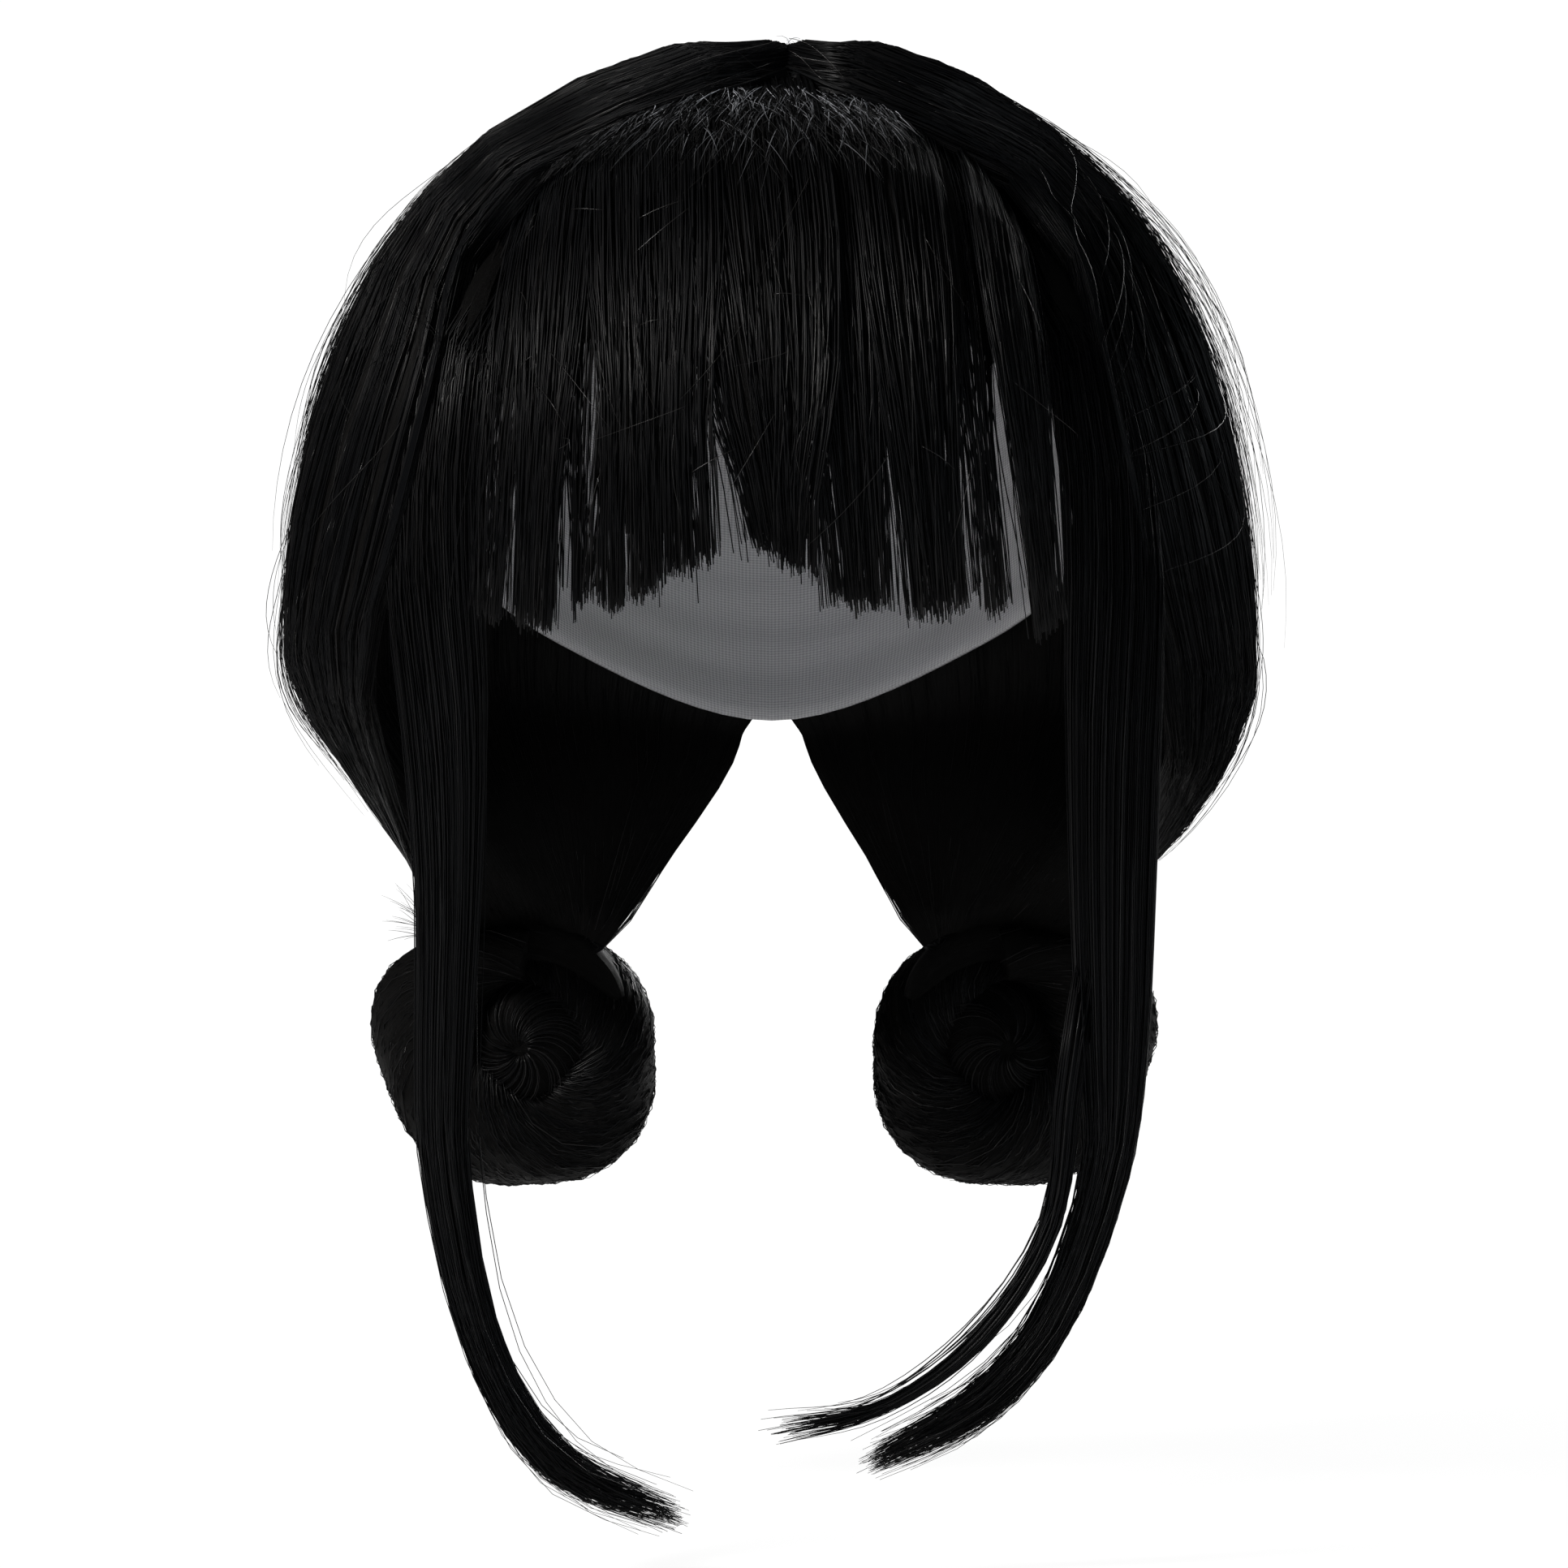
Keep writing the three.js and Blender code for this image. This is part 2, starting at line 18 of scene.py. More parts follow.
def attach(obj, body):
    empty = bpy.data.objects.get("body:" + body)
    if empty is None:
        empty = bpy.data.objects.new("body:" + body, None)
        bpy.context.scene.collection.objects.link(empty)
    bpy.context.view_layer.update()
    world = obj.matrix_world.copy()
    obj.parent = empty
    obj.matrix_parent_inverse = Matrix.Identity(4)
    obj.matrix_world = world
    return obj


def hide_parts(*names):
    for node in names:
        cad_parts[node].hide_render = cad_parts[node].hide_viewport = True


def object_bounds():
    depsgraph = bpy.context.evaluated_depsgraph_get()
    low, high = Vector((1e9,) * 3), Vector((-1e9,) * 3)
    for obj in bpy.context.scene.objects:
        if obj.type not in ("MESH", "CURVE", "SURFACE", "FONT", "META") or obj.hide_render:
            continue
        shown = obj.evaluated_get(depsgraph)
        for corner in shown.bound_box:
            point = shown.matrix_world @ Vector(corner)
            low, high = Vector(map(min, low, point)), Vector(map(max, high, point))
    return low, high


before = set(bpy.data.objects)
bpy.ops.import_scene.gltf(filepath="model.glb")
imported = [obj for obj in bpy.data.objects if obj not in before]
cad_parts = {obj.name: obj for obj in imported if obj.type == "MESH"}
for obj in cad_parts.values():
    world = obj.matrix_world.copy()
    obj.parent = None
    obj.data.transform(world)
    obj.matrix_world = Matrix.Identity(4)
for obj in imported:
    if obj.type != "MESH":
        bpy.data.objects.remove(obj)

cad_low, cad_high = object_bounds()
MM = 0.001
print("CAD box in mm:", [round((high - low) / MM, 1) for low, high in zip(cad_low, cad_high)])

# %% [markdown]
# ## Smooth curves in arrays
# Hair is a field of curves, so the curves come first. Blender has curve objects, but thousands of them
# are slow, and one array of points is quick. A Catmull-Rom curve passes through its points, so a few
# stations read off the real wig are enough to guide a whole curtain of hair.

# %% Array helpers
# Sizes in this script are millimetres until a mesh is made.
random = np.random.default_rng(20)
join = np.concatenate
SIDES = ((-1, "left"), (1, "right"))


def each(low, high, count):
    """A random value for each strand, as a column."""
    return random.uniform(low, high, (count, 1))


def wobble(spread, count):
    """A random value about zero for each strand, as a column."""
    return random.normal(0, spread, (count, 1))


def fields(names):
    """The columns of a table, named in one line."""
    return [(name, float) for name in names.split()]


def mix(start, end, share):
    return start + (end - start) * share


def smoothstep(value, low, high):
    share = clip((value - low) / (high - low), 0, 1)
    return share * share * (3 - 2 * share)


def steps(count):
    """Even shares from 0 to 1."""
    return linspace(0, 1, count)


def round_turn(sides):
    """Even angles once round."""
    return linspace(0, 2 * pi, sides, endpoint=False)


def grid(rows, columns):
    return np.meshgrid(rows, columns, indexing="ij")


def unit(vectors):
    return vectors / maximum(np.linalg.norm(vectors, axis=-1, keepdims=True), 1e-9)


def curve_through(points, share):
    """Points at `share` of the way along a smooth curve; each share may have guide points of its own."""
    points = np.asarray(points, float)
    ends = join([[2 * points[0] - points[1]], points, [2 * points[-1] - points[-2]]])
    place = clip(share, 0, 1) * (len(points) - 1)
    span = minimum(place.astype(int), len(points) - 2)
    own = tuple(np.indices(span.shape)) if points.ndim > 2 else ()
    before, start, end, after = (ends[(span + step, *own)] for step in range(4))
    t = (place - span)[..., None]
    bend = 2 * before - 5 * start + 4 * end - after
    twist = 3 * start - before - 3 * end + after
    return start + 0.5 * t * ((end - before) + t * (bend + t * twist))


print("curve helper at half way:", curve_through([[0, 0, 0], [1, 2, 0], [2, 0, 0]], array([0.5]))[0])

# %% [markdown]
# ## Meshes from arrays
# A strand of hair could be a curve with a bevel, a particle system or a hair curves object. A joined
# mesh of thin closed tubes is the same in every program, so each lock's strands become one mesh. Three
# sides with smooth normals shade as a round fibre, and the tube thins towards its tip.

# %% Mesh helper
def mesh_piece(name, points, quads, triangles, values, corners_uv=None):
    """A smooth mesh from arrays, with one named value for each point and an optional map."""
    mesh = bpy.data.meshes.new(name)
    corners = join([quads.ravel(), triangles.ravel()])
    starts = join([arange(len(quads)) * 4, quads.size + arange(len(triangles)) * 3])
    mesh.vertices.add(len(points))
    mesh.vertices.foreach_set("co", (points * MM).astype(np.float32).ravel())
    mesh.loops.add(len(corners))
    mesh.loops.foreach_set("vertex_index", corners.astype(np.int32))
    mesh.polygons.add(len(starts))
    mesh.polygons.foreach_set("loop_start", starts.astype(np.int32))
    mesh.polygons.foreach_set("use_smooth", np.ones(len(starts), bool))
    for title, value in values.items():
        kind, field = ("FLOAT", "value") if value.ndim == 1 else ("FLOAT_VECTOR", "vector")
        mesh.attributes.new(title, kind, "POINT").data.foreach_set(field, value.astype(np.float32).ravel())
    if corners_uv is not None:
        mesh.uv_layers.new(name="OFBake").data.foreach_set("uv", corners_uv.astype(np.float32).ravel())
    mesh.update(calc_edges=True)
    mesh.validate()
    piece = bpy.data.objects.new(name, mesh)
    bpy.context.collection.objects.link(piece)
    made = 2 * len(quads) + len(triangles)
    triangle_counts[name] = made
    print(f"{name}: {made} triangles")
    return piece


triangle_counts = {}
print("pieces so far:", len(triangle_counts))

# %% Strand tubes
def grid_quads(rows, columns, wrap, offset=0):
    """The faces of a grid of points, closed round its columns if `wrap` is set."""
    row = arange(rows - 1)[:, None]
    column = arange(columns if wrap else columns - 1)[None]
    following = (column + 1) % columns
    faces = [row * columns + column, row * columns + following,
             (row + 1) * columns + following, (row + 1) * columns + column]
    return offset + stack(np.broadcast_arrays(*faces), -1).reshape(-1, 4)


STRAND_SIDES = 3
TAPER_AT = [0, 0.05, 0.6, 1]
TAPER = [0.7, 1, 0.95]
ODD_AXIS = [0.36, 0.48, 0.8]


def strand_piece(name, paths, widths, shades, tip=0.3):
    """One mesh of closed tubes along paths, an array of strands by rings by xyz, thinning to `tip`."""
    count, rings, _ = paths.shape
    forward = unit(np.gradient(paths, axis=1))
    lift = np.empty_like(paths)
    lift[:, 0] = unit(cross(forward[:, 0], ODD_AXIS))
    for ring in range(1, rings):
        before = lift[:, ring - 1]
        lean = (before * forward[:, ring]).sum(-1, keepdims=True)
        lift[:, ring] = unit(before - lean * forward[:, ring])
    across = cross(forward, lift)
    side = arange(STRAND_SIDES)
    turn = round_turn(STRAND_SIDES)[:, None]
    along = steps(rings)
    radius = widths[:, None] / 2 * np.interp(along, TAPER_AT, TAPER + [tip])
    spokes = lift[:, :, None] * cos(turn) + across[:, :, None] * sin(turn)
    points = paths[:, :, None] + radius[..., None, None] * spokes
    first = arange(count)[:, None] * rings * STRAND_SIDES
    quads = first[..., None] + grid_quads(rings, STRAND_SIDES, True)
    root_caps = first + side[::-1]
    tip_caps = first + (rings - 1) * STRAND_SIDES + side
    shades = np.broadcast_to(shades.reshape(count, -1), (count, rings))
    values = {"shade": np.repeat(shades.ravel(), STRAND_SIDES),
              "along": np.tile(np.repeat(along, STRAND_SIDES), count)}
    return mesh_piece(name, points.reshape(-1, 3), quads.reshape(-1, 4),
                      join([root_caps, tip_caps]), values, strand_map(count, rings))


print("sides of a strand:", STRAND_SIDES)

# %% A map for the strands
def strand_map(count, rings):
    """A map with a small square of its own for each strand."""
    columns = math.ceil(math.sqrt(count))
    squares = stack(np.divmod(arange(count), columns), -1)[:, None, :]
    side, ring = np.meshgrid(arange(STRAND_SIDES), arange(rings - 1))
    corners = array([[0, 0], [1, 0], [1, 1], [0, 1]])
    inside = stack([side, ring], -1).reshape(-1, 1, 2) + corners
    tube = 0.12 + 0.8 * inside.reshape(-1, 2) / [STRAND_SIDES, rings - 1]
    cap = array([[0.02, 0.02], [0.08, 0.02], [0.05, 0.08]])
    patches = [(squares + patch).reshape(-1, 2) for patch in (tube, cap, cap + [0, 0.88])]
    return join(patches) / columns


print("map corners for one strand of two rings:", len(strand_map(1, 2)))

# %% Mass meshes
def lock_mass(name, tubes):
    """One mesh of closed fat locks, each an array of rings by sides by xyz."""
    points, quads, triangles, flow = [], [], [], []
    total = 0
    for rings in tubes:
        rows, sides, _ = rings.shape
        quads.append(grid_quads(rows, sides, True, total))
        around = arange(sides)
        ends = total + rows * sides
        for end, ring, step in ((0, 0, -1), (1, rows - 1, 1)):
            rim = total + ring * sides
            edge = stack([rim + around, rim + (around + 1) % sides], -1)[:, ::step]
            triangles.append(np.column_stack([np.full(sides, ends + end), edge]))
        points += [rings.reshape(-1, 3), rings[[0, -1]].mean(1)]
        share, turn = grid(steps(rows), arange(sides) / sides)
        flow += [stack([turn, share, 0 * turn], -1).reshape(-1, 3), array([[0, 0, 0], [0, 1, 0]])]
        total = ends + 2
    return mesh_piece(name, join(points), join(quads), join(triangles), {"flow": join(flow)})


def sheet_mass(name, outer, inner):
    """A closed wall between two grids of rows by columns by xyz."""
    rows, columns, _ = outer.shape
    size = rows * columns
    front = grid_quads(rows, columns, False)
    back = grid_quads(rows, columns, False, size)[:, ::-1]
    place = arange(size).reshape(rows, columns)
    rim = join([place[0, :-1], place[:-1, -1], place[-1, :0:-1], place[:0:-1, 0]])
    following = np.roll(rim, -1)
    edge = stack([following, rim, rim + size, following + size], -1)
    share, across = grid(steps(rows), steps(columns))
    flow = stack([across, share, 0 * share], -1).reshape(-1, 3)
    return mesh_piece(name, join([outer.reshape(-1, 3), inner.reshape(-1, 3)]),
                      join([front, back, edge]), np.empty((0, 3), int),
                      {"flow": join([flow, flow])})


print("mesh helpers are ready")

# %% [markdown]
# ## Shader maths as Python
# A material is a graph of nodes. Wrapping a socket in a small class lets the graph be written as plain
# arithmetic: each operator adds one Math node, and every other node comes from one method.

# %% The wire class
class Wire:
    """A shader socket that Python's operators can work on."""

    def __init__(self, socket):
        self.socket = socket

    @staticmethod
    def node(tree, kind, output=None, inputs=None, **settings):
        """Adds a node, sets it, feeds its sockets by name and gives the named output."""
        node = tree.nodes.new("ShaderNode" + kind)
        for name, value in settings.items():
            setattr(node, name, value)
        for name, value in (inputs or {}).items():
            socket = Wire.find(node.inputs, name)
            if isinstance(value, Wire):
                tree.links.new(value.socket, socket)
            else:
                socket.default_value = value
        return Wire(Wire.find(node.outputs, output)) if output else node

    @staticmethod
    def find(sockets, name):
        """The socket with this identifier, or else the one in use with this name."""
        exact = [socket for socket in sockets if socket.identifier == name]
        return (exact or [socket for socket in sockets if socket.name == name and socket.enabled])[0]

    @staticmethod
    def operator(operation, swapped=False):
        """A method that adds one Math node for an operator."""
        def run(self, other):
            left, right = (other, self) if swapped else (self, other)
            inputs = {"Value": left, "Value_001": right}
            return Wire.node(self.socket.id_data, "Math", "Value", inputs, operation=operation)
        return run

    __add__, __radd__ = operator("ADD"), operator("ADD", True)
    __sub__, __rsub__ = operator("SUBTRACT"), operator("SUBTRACT", True)
    __mul__, __rmul__ = operator("MULTIPLY"), operator("MULTIPLY", True)
    __pow__ = operator("POWER")


print("operators:", [name for name in vars(Wire) if name.startswith("__r")])

# %% Shader helpers
def new_material(name):
    material = bpy.data.materials.new(name)
    material.use_nodes = True
    material.node_tree.nodes.clear()
    return material, material.node_tree


def blend_colours(tree, share, low, high):
    """The colour at a share of the way between two colours."""
    inputs = {"Factor_Float": share, "A_Color": (*low, 1), "B_Color": (*high, 1)}
    return Wire.node(tree, "Mix", "Result_Color", inputs, data_type="RGBA")


def attribute(tree, name, output="Fac"):
    """A value that the mesh carries, read by its name."""
    return Wire.node(tree, "Attribute", output, attribute_name=name)


def bumped(tree, height, strength, distance):
    inputs = {"Height": height, "Strength": strength, "Distance": distance}
    return Wire.node(tree, "Bump", "Normal", inputs)


def end_in_surface(material, inputs):
    """Ends a material in one Principled surface with these inputs."""
    surface = Wire.node(material.node_tree, "BsdfPrincipled", "BSDF", inputs)
    Wire.node(material.node_tree, "OutputMaterial", None, {"Surface": surface})


print("shader helpers are ready")

# %% [markdown]
# ## Black fibre
# The hair is a smooth synthetic fibre. It is nearly black, and what the eye sees is its gloss: thin
# grey and brown streaks where a strand turns towards the light. Each strand carries its own shade, so
# neighbours differ a little in colour and gloss, and the round tubes make the streaks by themselves.
# Blender's hair shader is meant for hair curves, so a plain surface with a thin coat is used.

# %% Hair materials
FIBRE_DARK, FIBRE_PALE = (0.0008, 0.001, 0.0014), (0.011, 0.0098, 0.0092)
FIBRE, tree = new_material("black_fibre")
shade, along = attribute(tree, "shade"), attribute(tree, "along")
end_in_surface(FIBRE, {
    "Base Color": blend_colours(tree, shade ** 2 * (1 - 0.3 * along), FIBRE_DARK, FIBRE_PALE),
    "Roughness": 0.48 - 0.14 * shade, "Specular IOR Level": 0.08,
    "Coat Weight": 0.7 * shade ** 2, "Coat Roughness": 0.28})

# The mass has noise drawn out along the hair, read from its own flow value.
MASS_DARK, MASS_PALE = (0.0006, 0.0006, 0.0006), (0.0025, 0.0023, 0.0022)
STRETCH = (420, 7, 1)
MASS, tree = new_material("black_hair_mass")
inputs = {"Vector": attribute(tree, "flow", "Vector"), "Vector_001": STRETCH}
drawn = Wire.node(tree, "VectorMath", "Vector", inputs, operation="MULTIPLY")
inputs = {"Vector": drawn, "Scale": 1.0, "Detail": 3, "Roughness": 0.6}
strands = Wire.node(tree, "TexNoise", "Fac", inputs)
end_in_surface(MASS, {
    "Base Color": blend_colours(tree, strands, MASS_DARK, MASS_PALE), "Roughness": 0.62 - 0.2 * strands,
    "Specular IOR Level": 0.06, "Normal": bumped(tree, strands, 0.8, 0.0006)})
print("materials:", FIBRE.name, MASS.name)

# %% How a piece joins the frame
def dress(piece, material, node=None):
    """Gives a piece its material and its place in the frame."""
    piece.data.materials.append(material)
    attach(piece, "root")
    if node:
        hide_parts(node)


WISP_SHADE, OWN_SHADE = 0.65, 0.35


def strand_looks(wisp, thin=0.26, thick=0.42):
    """Widths and shades for strands in numbered wisps; a wisp's strands are alike."""
    shared = random.beta(1.1, 2.6, wisp.max() + 1)[wisp]
    own = random.beta(1.2, 2.6, len(wisp))
    return random.uniform(thin, thick, len(wisp)), WISP_SHADE * shared + OWN_SHADE * own


def dress_strands(name, paths, looks, material=FIBRE, tip=0.3):
    """A piece of strands with these widths and shades, joined to the frame."""
    dress(strand_piece(name, paths, *looks, tip), material)


print("strands are dressed in", FIBRE.name)

# %% [markdown]
# ## The cap
# The cap is a thin stretch net, shaped as a dome and open below. Rows of hair are sewn to it, and from
# inside each row shows as a low ridge. The dome is the top of an egg. Its rim comes down low at the
# nape and is cut high over the brow. Cutting a sphere would leave a ragged rim, so a smooth table gives
# the rim and the rows follow it.

# %% The cap's dome
EGG = array([73.0, 92.0, 98.0])
EGG_MIDDLE = array([0, 0, -98.0])
CAP_WALL = 1.6
CAP_RIM = [(-50, -70), (0, -45), (50, -70), (90, -95), (135, -122), (180, -140), (225, -122)]
CAP_ROWS = 16
ROW_HEIGHT = 0.55
AROUND, DOWN = 72, 64


def rim_height(azimuth):
    """The rim's z at an azimuth, on a smooth curve through the table."""
    curve = curve_through(CAP_RIM, steps(200))
    return np.interp(azimuth, curve[:, 0], curve[:, 1])


def dome(share, azimuth, lift):
    """Points on the egg grown by `lift`: share runs from the crown to the rim."""
    near = where(azimuth <= 180, azimuth, 360 - azimuth)
    tilt = share * np.arccos((rim_height(near) - EGG_MIDDLE[2]) / EGG[2])
    around = radians(azimuth)
    direction = stack([sin(tilt) * sin(around), -sin(tilt) * cos(around), cos(tilt)], -1)
    return direction * (EGG + lift[..., None]) + EGG_MIDDLE


share, azimuth = grid(linspace(0.004, 1, DOWN), linspace(0, 360, AROUND, endpoint=False))
ridge = abs(sin(pi * CAP_ROWS * share)) ** 6
outer = dome(share, azimuth, np.full(share.shape, CAP_WALL))
inner = dome(share, azimuth, ROW_HEIGHT * (1 - ridge))
cap = lock_mass("cap_net", [join([inner, outer[::-1]])])

# %% Cap net material
NET_AROUND, NET_DOWN, NET_TURN = 260, 320, 6.283
NET_DARK, NET_PALE = (0.28, 0.28, 0.29), (0.52, 0.52, 0.54)


def wave(tree, turns):
    """A sine wave that repeats at every whole turn."""
    return Wire.node(tree, "Math", "Value", {"Value": turns * NET_TURN}, operation="SINE")


cap_material, tree = new_material("stretch_net")
flow = attribute(tree, "flow", "Vector")
around = Wire.node(tree, "SeparateXYZ", "X", {"Vector": flow}) * NET_AROUND
down = Wire.node(tree, "SeparateXYZ", "Y", {"Vector": flow}) * NET_DOWN
net = (wave(tree, around + down) * wave(tree, around - down) + 1) * 0.5
end_in_surface(cap_material, {
    "Base Color": blend_colours(tree, net, NET_DARK, NET_PALE), "Roughness": 0.9 - 0.15 * net,
    "Specular IOR Level": 0.2, "Normal": bumped(tree, net, 0.5, 0.0004)})
dress(cap, cap_material, "cap")
print("cap dressed")

# %% [markdown]
# ## The crown hair
# The crown hair leaves the parting, sweeps over the side of the cap, tucks under in a rounded lip and
# is gathered into a bun. It could be grown and combed. Here its outer form is a stack of level sections
# with a few guides on it. Every strand lies between two guides, so six rows of a table steer them all.

# %% The crown's form
TOP = 14.0
SECTIONS = array(
    [(TOP, 0, 0, 0), (10, 29, 33, 35), (3.8, 45, 47, 53), (-3.5, 57, 55, 63), (-12.6, 69, 63, 73),
     (-35, 88.6, 83, 90), (-62, 101.2, 95, 101), (-96, 109.5, 101, 107), (-120, 111, 103, 107),
     (-144, 108.5, 101, 103), (-156, 103.5, 97, 96), (-164, 97, 94, 90), (-173, 87, 90, 82)],
    dtype=fields("z half_width front back"))
ROUND_FRONT, ROUND_BACK = 1.5, 2.2
GUIDE_STATIONS = ("root", "over", "side", "wide", "tuck")
CROWN_GUIDES = array(
    [((0, 7.6), (51, -20), (51, -62), (54, -112), (66, -160), 50),
     ((0, 11), (68, -10), (70, -56), (76, -114), (88, -167), 62),
     ((90, TOP), (90, -7), (92, -54), (98, -116), (109, -171), 76),
     ((180, 10), (118, -12), (116, -58), (118, -116), (124, -170), 93),
     ((180, -6), (148, -30), (142, -74), (140, -118), (142, -164), 112),
     ((180, -42), (180, -70), (180, -98), (179, -130), (174, -156), 130)],
    dtype=[(name, float, 2) for name in GUIDE_STATIONS] + [("bun", float)])
LIP_RISE, RISE_FROM = {-1: 12.0, 1: 0.0}, 0.5
PARTING_X, PARTING_GAP, SHIFT_SHARE = 4.0, 0.02, 0.25
BUN_X = {-1: 60.0, 1: 56.5}
BUN_Y, BUN_Z = 80.0, -219.0
GATHER_RADIUS, GATHER_Y = 30.0, -5.0
print("sections and guides:", len(SECTIONS), len(CROWN_GUIDES))

# %% The crown's guides
def drop(z):
    return sqrt(maximum(0, TOP - np.asarray(z, float)))


def on_envelope(azimuth, depth):
    """A point of the hair's outer form from its azimuth and its drop below the top."""
    angle = radians(azimuth)
    ahead = azimuth < 90
    power = 2 / where(ahead, ROUND_FRONT, ROUND_BACK)
    width, front, back = (np.interp(depth, drop(SECTIONS["z"]), SECTIONS[name])
                          for name in ("half_width", "front", "back"))
    x = width * abs(sin(angle)) ** power
    y = -np.sign(cos(angle)) * where(ahead, front, back) * abs(cos(angle)) ** power
    return stack([x, y, TOP - depth ** 2], -1)


def about_bun(side, radius, angle, y):
    """Points round a bun's level axis; `y` counts from the bun's middle."""
    place = [side * (BUN_X[side] + radius * cos(angle)), BUN_Y + y, BUN_Z + radius * sin(angle)]
    return stack(np.broadcast_arrays(*place), -1)


def crown_guide(row, side, rise):
    """Points down one guide: a curve on the outer form, and the gather."""
    plan = array([(row[name][0], drop(row[name][1]), 0) for name in GUIDE_STATIONS])
    share = steps(9)
    route = curve_through(plan, share)
    points = on_envelope(route[:, 0], route[:, 1])
    points[:, 2] += rise * smoothstep(share, RISE_FROM, 1)
    gather = about_bun(side, GATHER_RADIUS, math.radians(row["bun"]), GATHER_Y) * [side, 1, 1]
    return join([points, [gather]])


TO_NAPE = linspace(1, 0, len(CROWN_GUIDES))
CROWN = {side: [crown_guide(row, side, LIP_RISE[side] * share) for row, share in zip(CROWN_GUIDES, TO_NAPE)]
         for side in (-1, 1)}
print("guide points on each side:", sum(len(guide) for guide in CROWN[1]))

# %% Points under the crown's surface
STEP = 0.01
EDGE_ROLL, ROLL_ACROSS, ROLL_ALONG = 6.0, 0.12, (0.02, 0.24)


def crown_form(side, across, along):
    guides = stack([curve_through(guide, along) for guide in CROWN[side]])
    return curve_through(guides, across)


def clear_of_cap(points, room=0.5):
    """Pushes points out from the middle of the egg until they clear the cap."""
    out = points - EGG_MIDDLE
    share = np.linalg.norm(out / (EGG + CAP_WALL + room), axis=-1, keepdims=True)
    return EGG_MIDDLE + out / minimum(share, 1)


def crown_points(side, across, along, depth):
    """Points of the crown hair at a depth under its outer form."""
    across, along, depth = np.broadcast_arrays(across, along, depth)
    before, above = maximum(across - STEP, 0), maximum(along - STEP, 0)
    sideways = crown_form(side, across + STEP, along) - crown_form(side, before, along)
    onward = crown_form(side, across, along + STEP) - crown_form(side, across, above)
    outward = unit(cross(onward, sideways))
    points = crown_form(side, across, along) - outward * depth[..., None]
    near_edge = 1 - smoothstep(across, 0, ROLL_ACROSS)
    points[..., 2] -= EDGE_ROLL * near_edge * (1 - smoothstep(along, *ROLL_ALONG))
    points[..., 0] = side * maximum(points[..., 0], PARTING_GAP)
    points[..., 0] += PARTING_X * maximum(0, 1 - along / SHIFT_SHARE)
    return clear_of_cap(points)


print("front edge at half way:", crown_points(1, array([0.0]), array([0.5]), 0.0)[0].round(1))

# %% The crown's mass
CROWN_LOCKS, CROWN_WISPS = 40, 330
LOCK_ROUND, WISP_ROUND = 1.7, 0.9
GROOVE_DEPTH, GROOVE_SHARE = 4.4, 0.05
THICKNESS_AT, THICKNESS = [0, 0.35, 0.65, 0.85, 1], [14, 13, 11, 6, 4]
EDGE_THIN, EDGE_SHARE = 0.45, 0.15
MASS_DEPTH, MASS_ROWS, MASS_COLUMNS = 1.7, 40, 84


def parting_groove(along):
    return GROOVE_DEPTH * maximum(0, 1 - along / GROOVE_SHARE) ** 2


def crown_thickness(across, along):
    edge = mix(EDGE_THIN, 1, smoothstep(across, 0, EDGE_SHARE))
    return edge * np.interp(along, THICKNESS_AT, THICKNESS)


def make_crown_mass(side, name):
    along, across = grid(steps(MASS_ROWS), steps(MASS_COLUMNS))
    ribs = LOCK_ROUND * (1 - abs(sin(pi * CROWN_LOCKS * across / 2))) * sin(pi * along)
    outer = crown_points(side, across, along, MASS_DEPTH + ribs + parting_groove(along))
    inner = crown_points(side, across, along, crown_thickness(across, along) - 0.6)
    return sheet_mass(name, *((outer, inner) if side < 0 else (inner, outer)))


print("crown wall at half way in mm:", crown_thickness(0.5, 0.5))

# %% Strands of the crown
PARTING_CROSS, CROSS_SHARE = 1.5, 0.06
SHORT_SHARE = 0.12


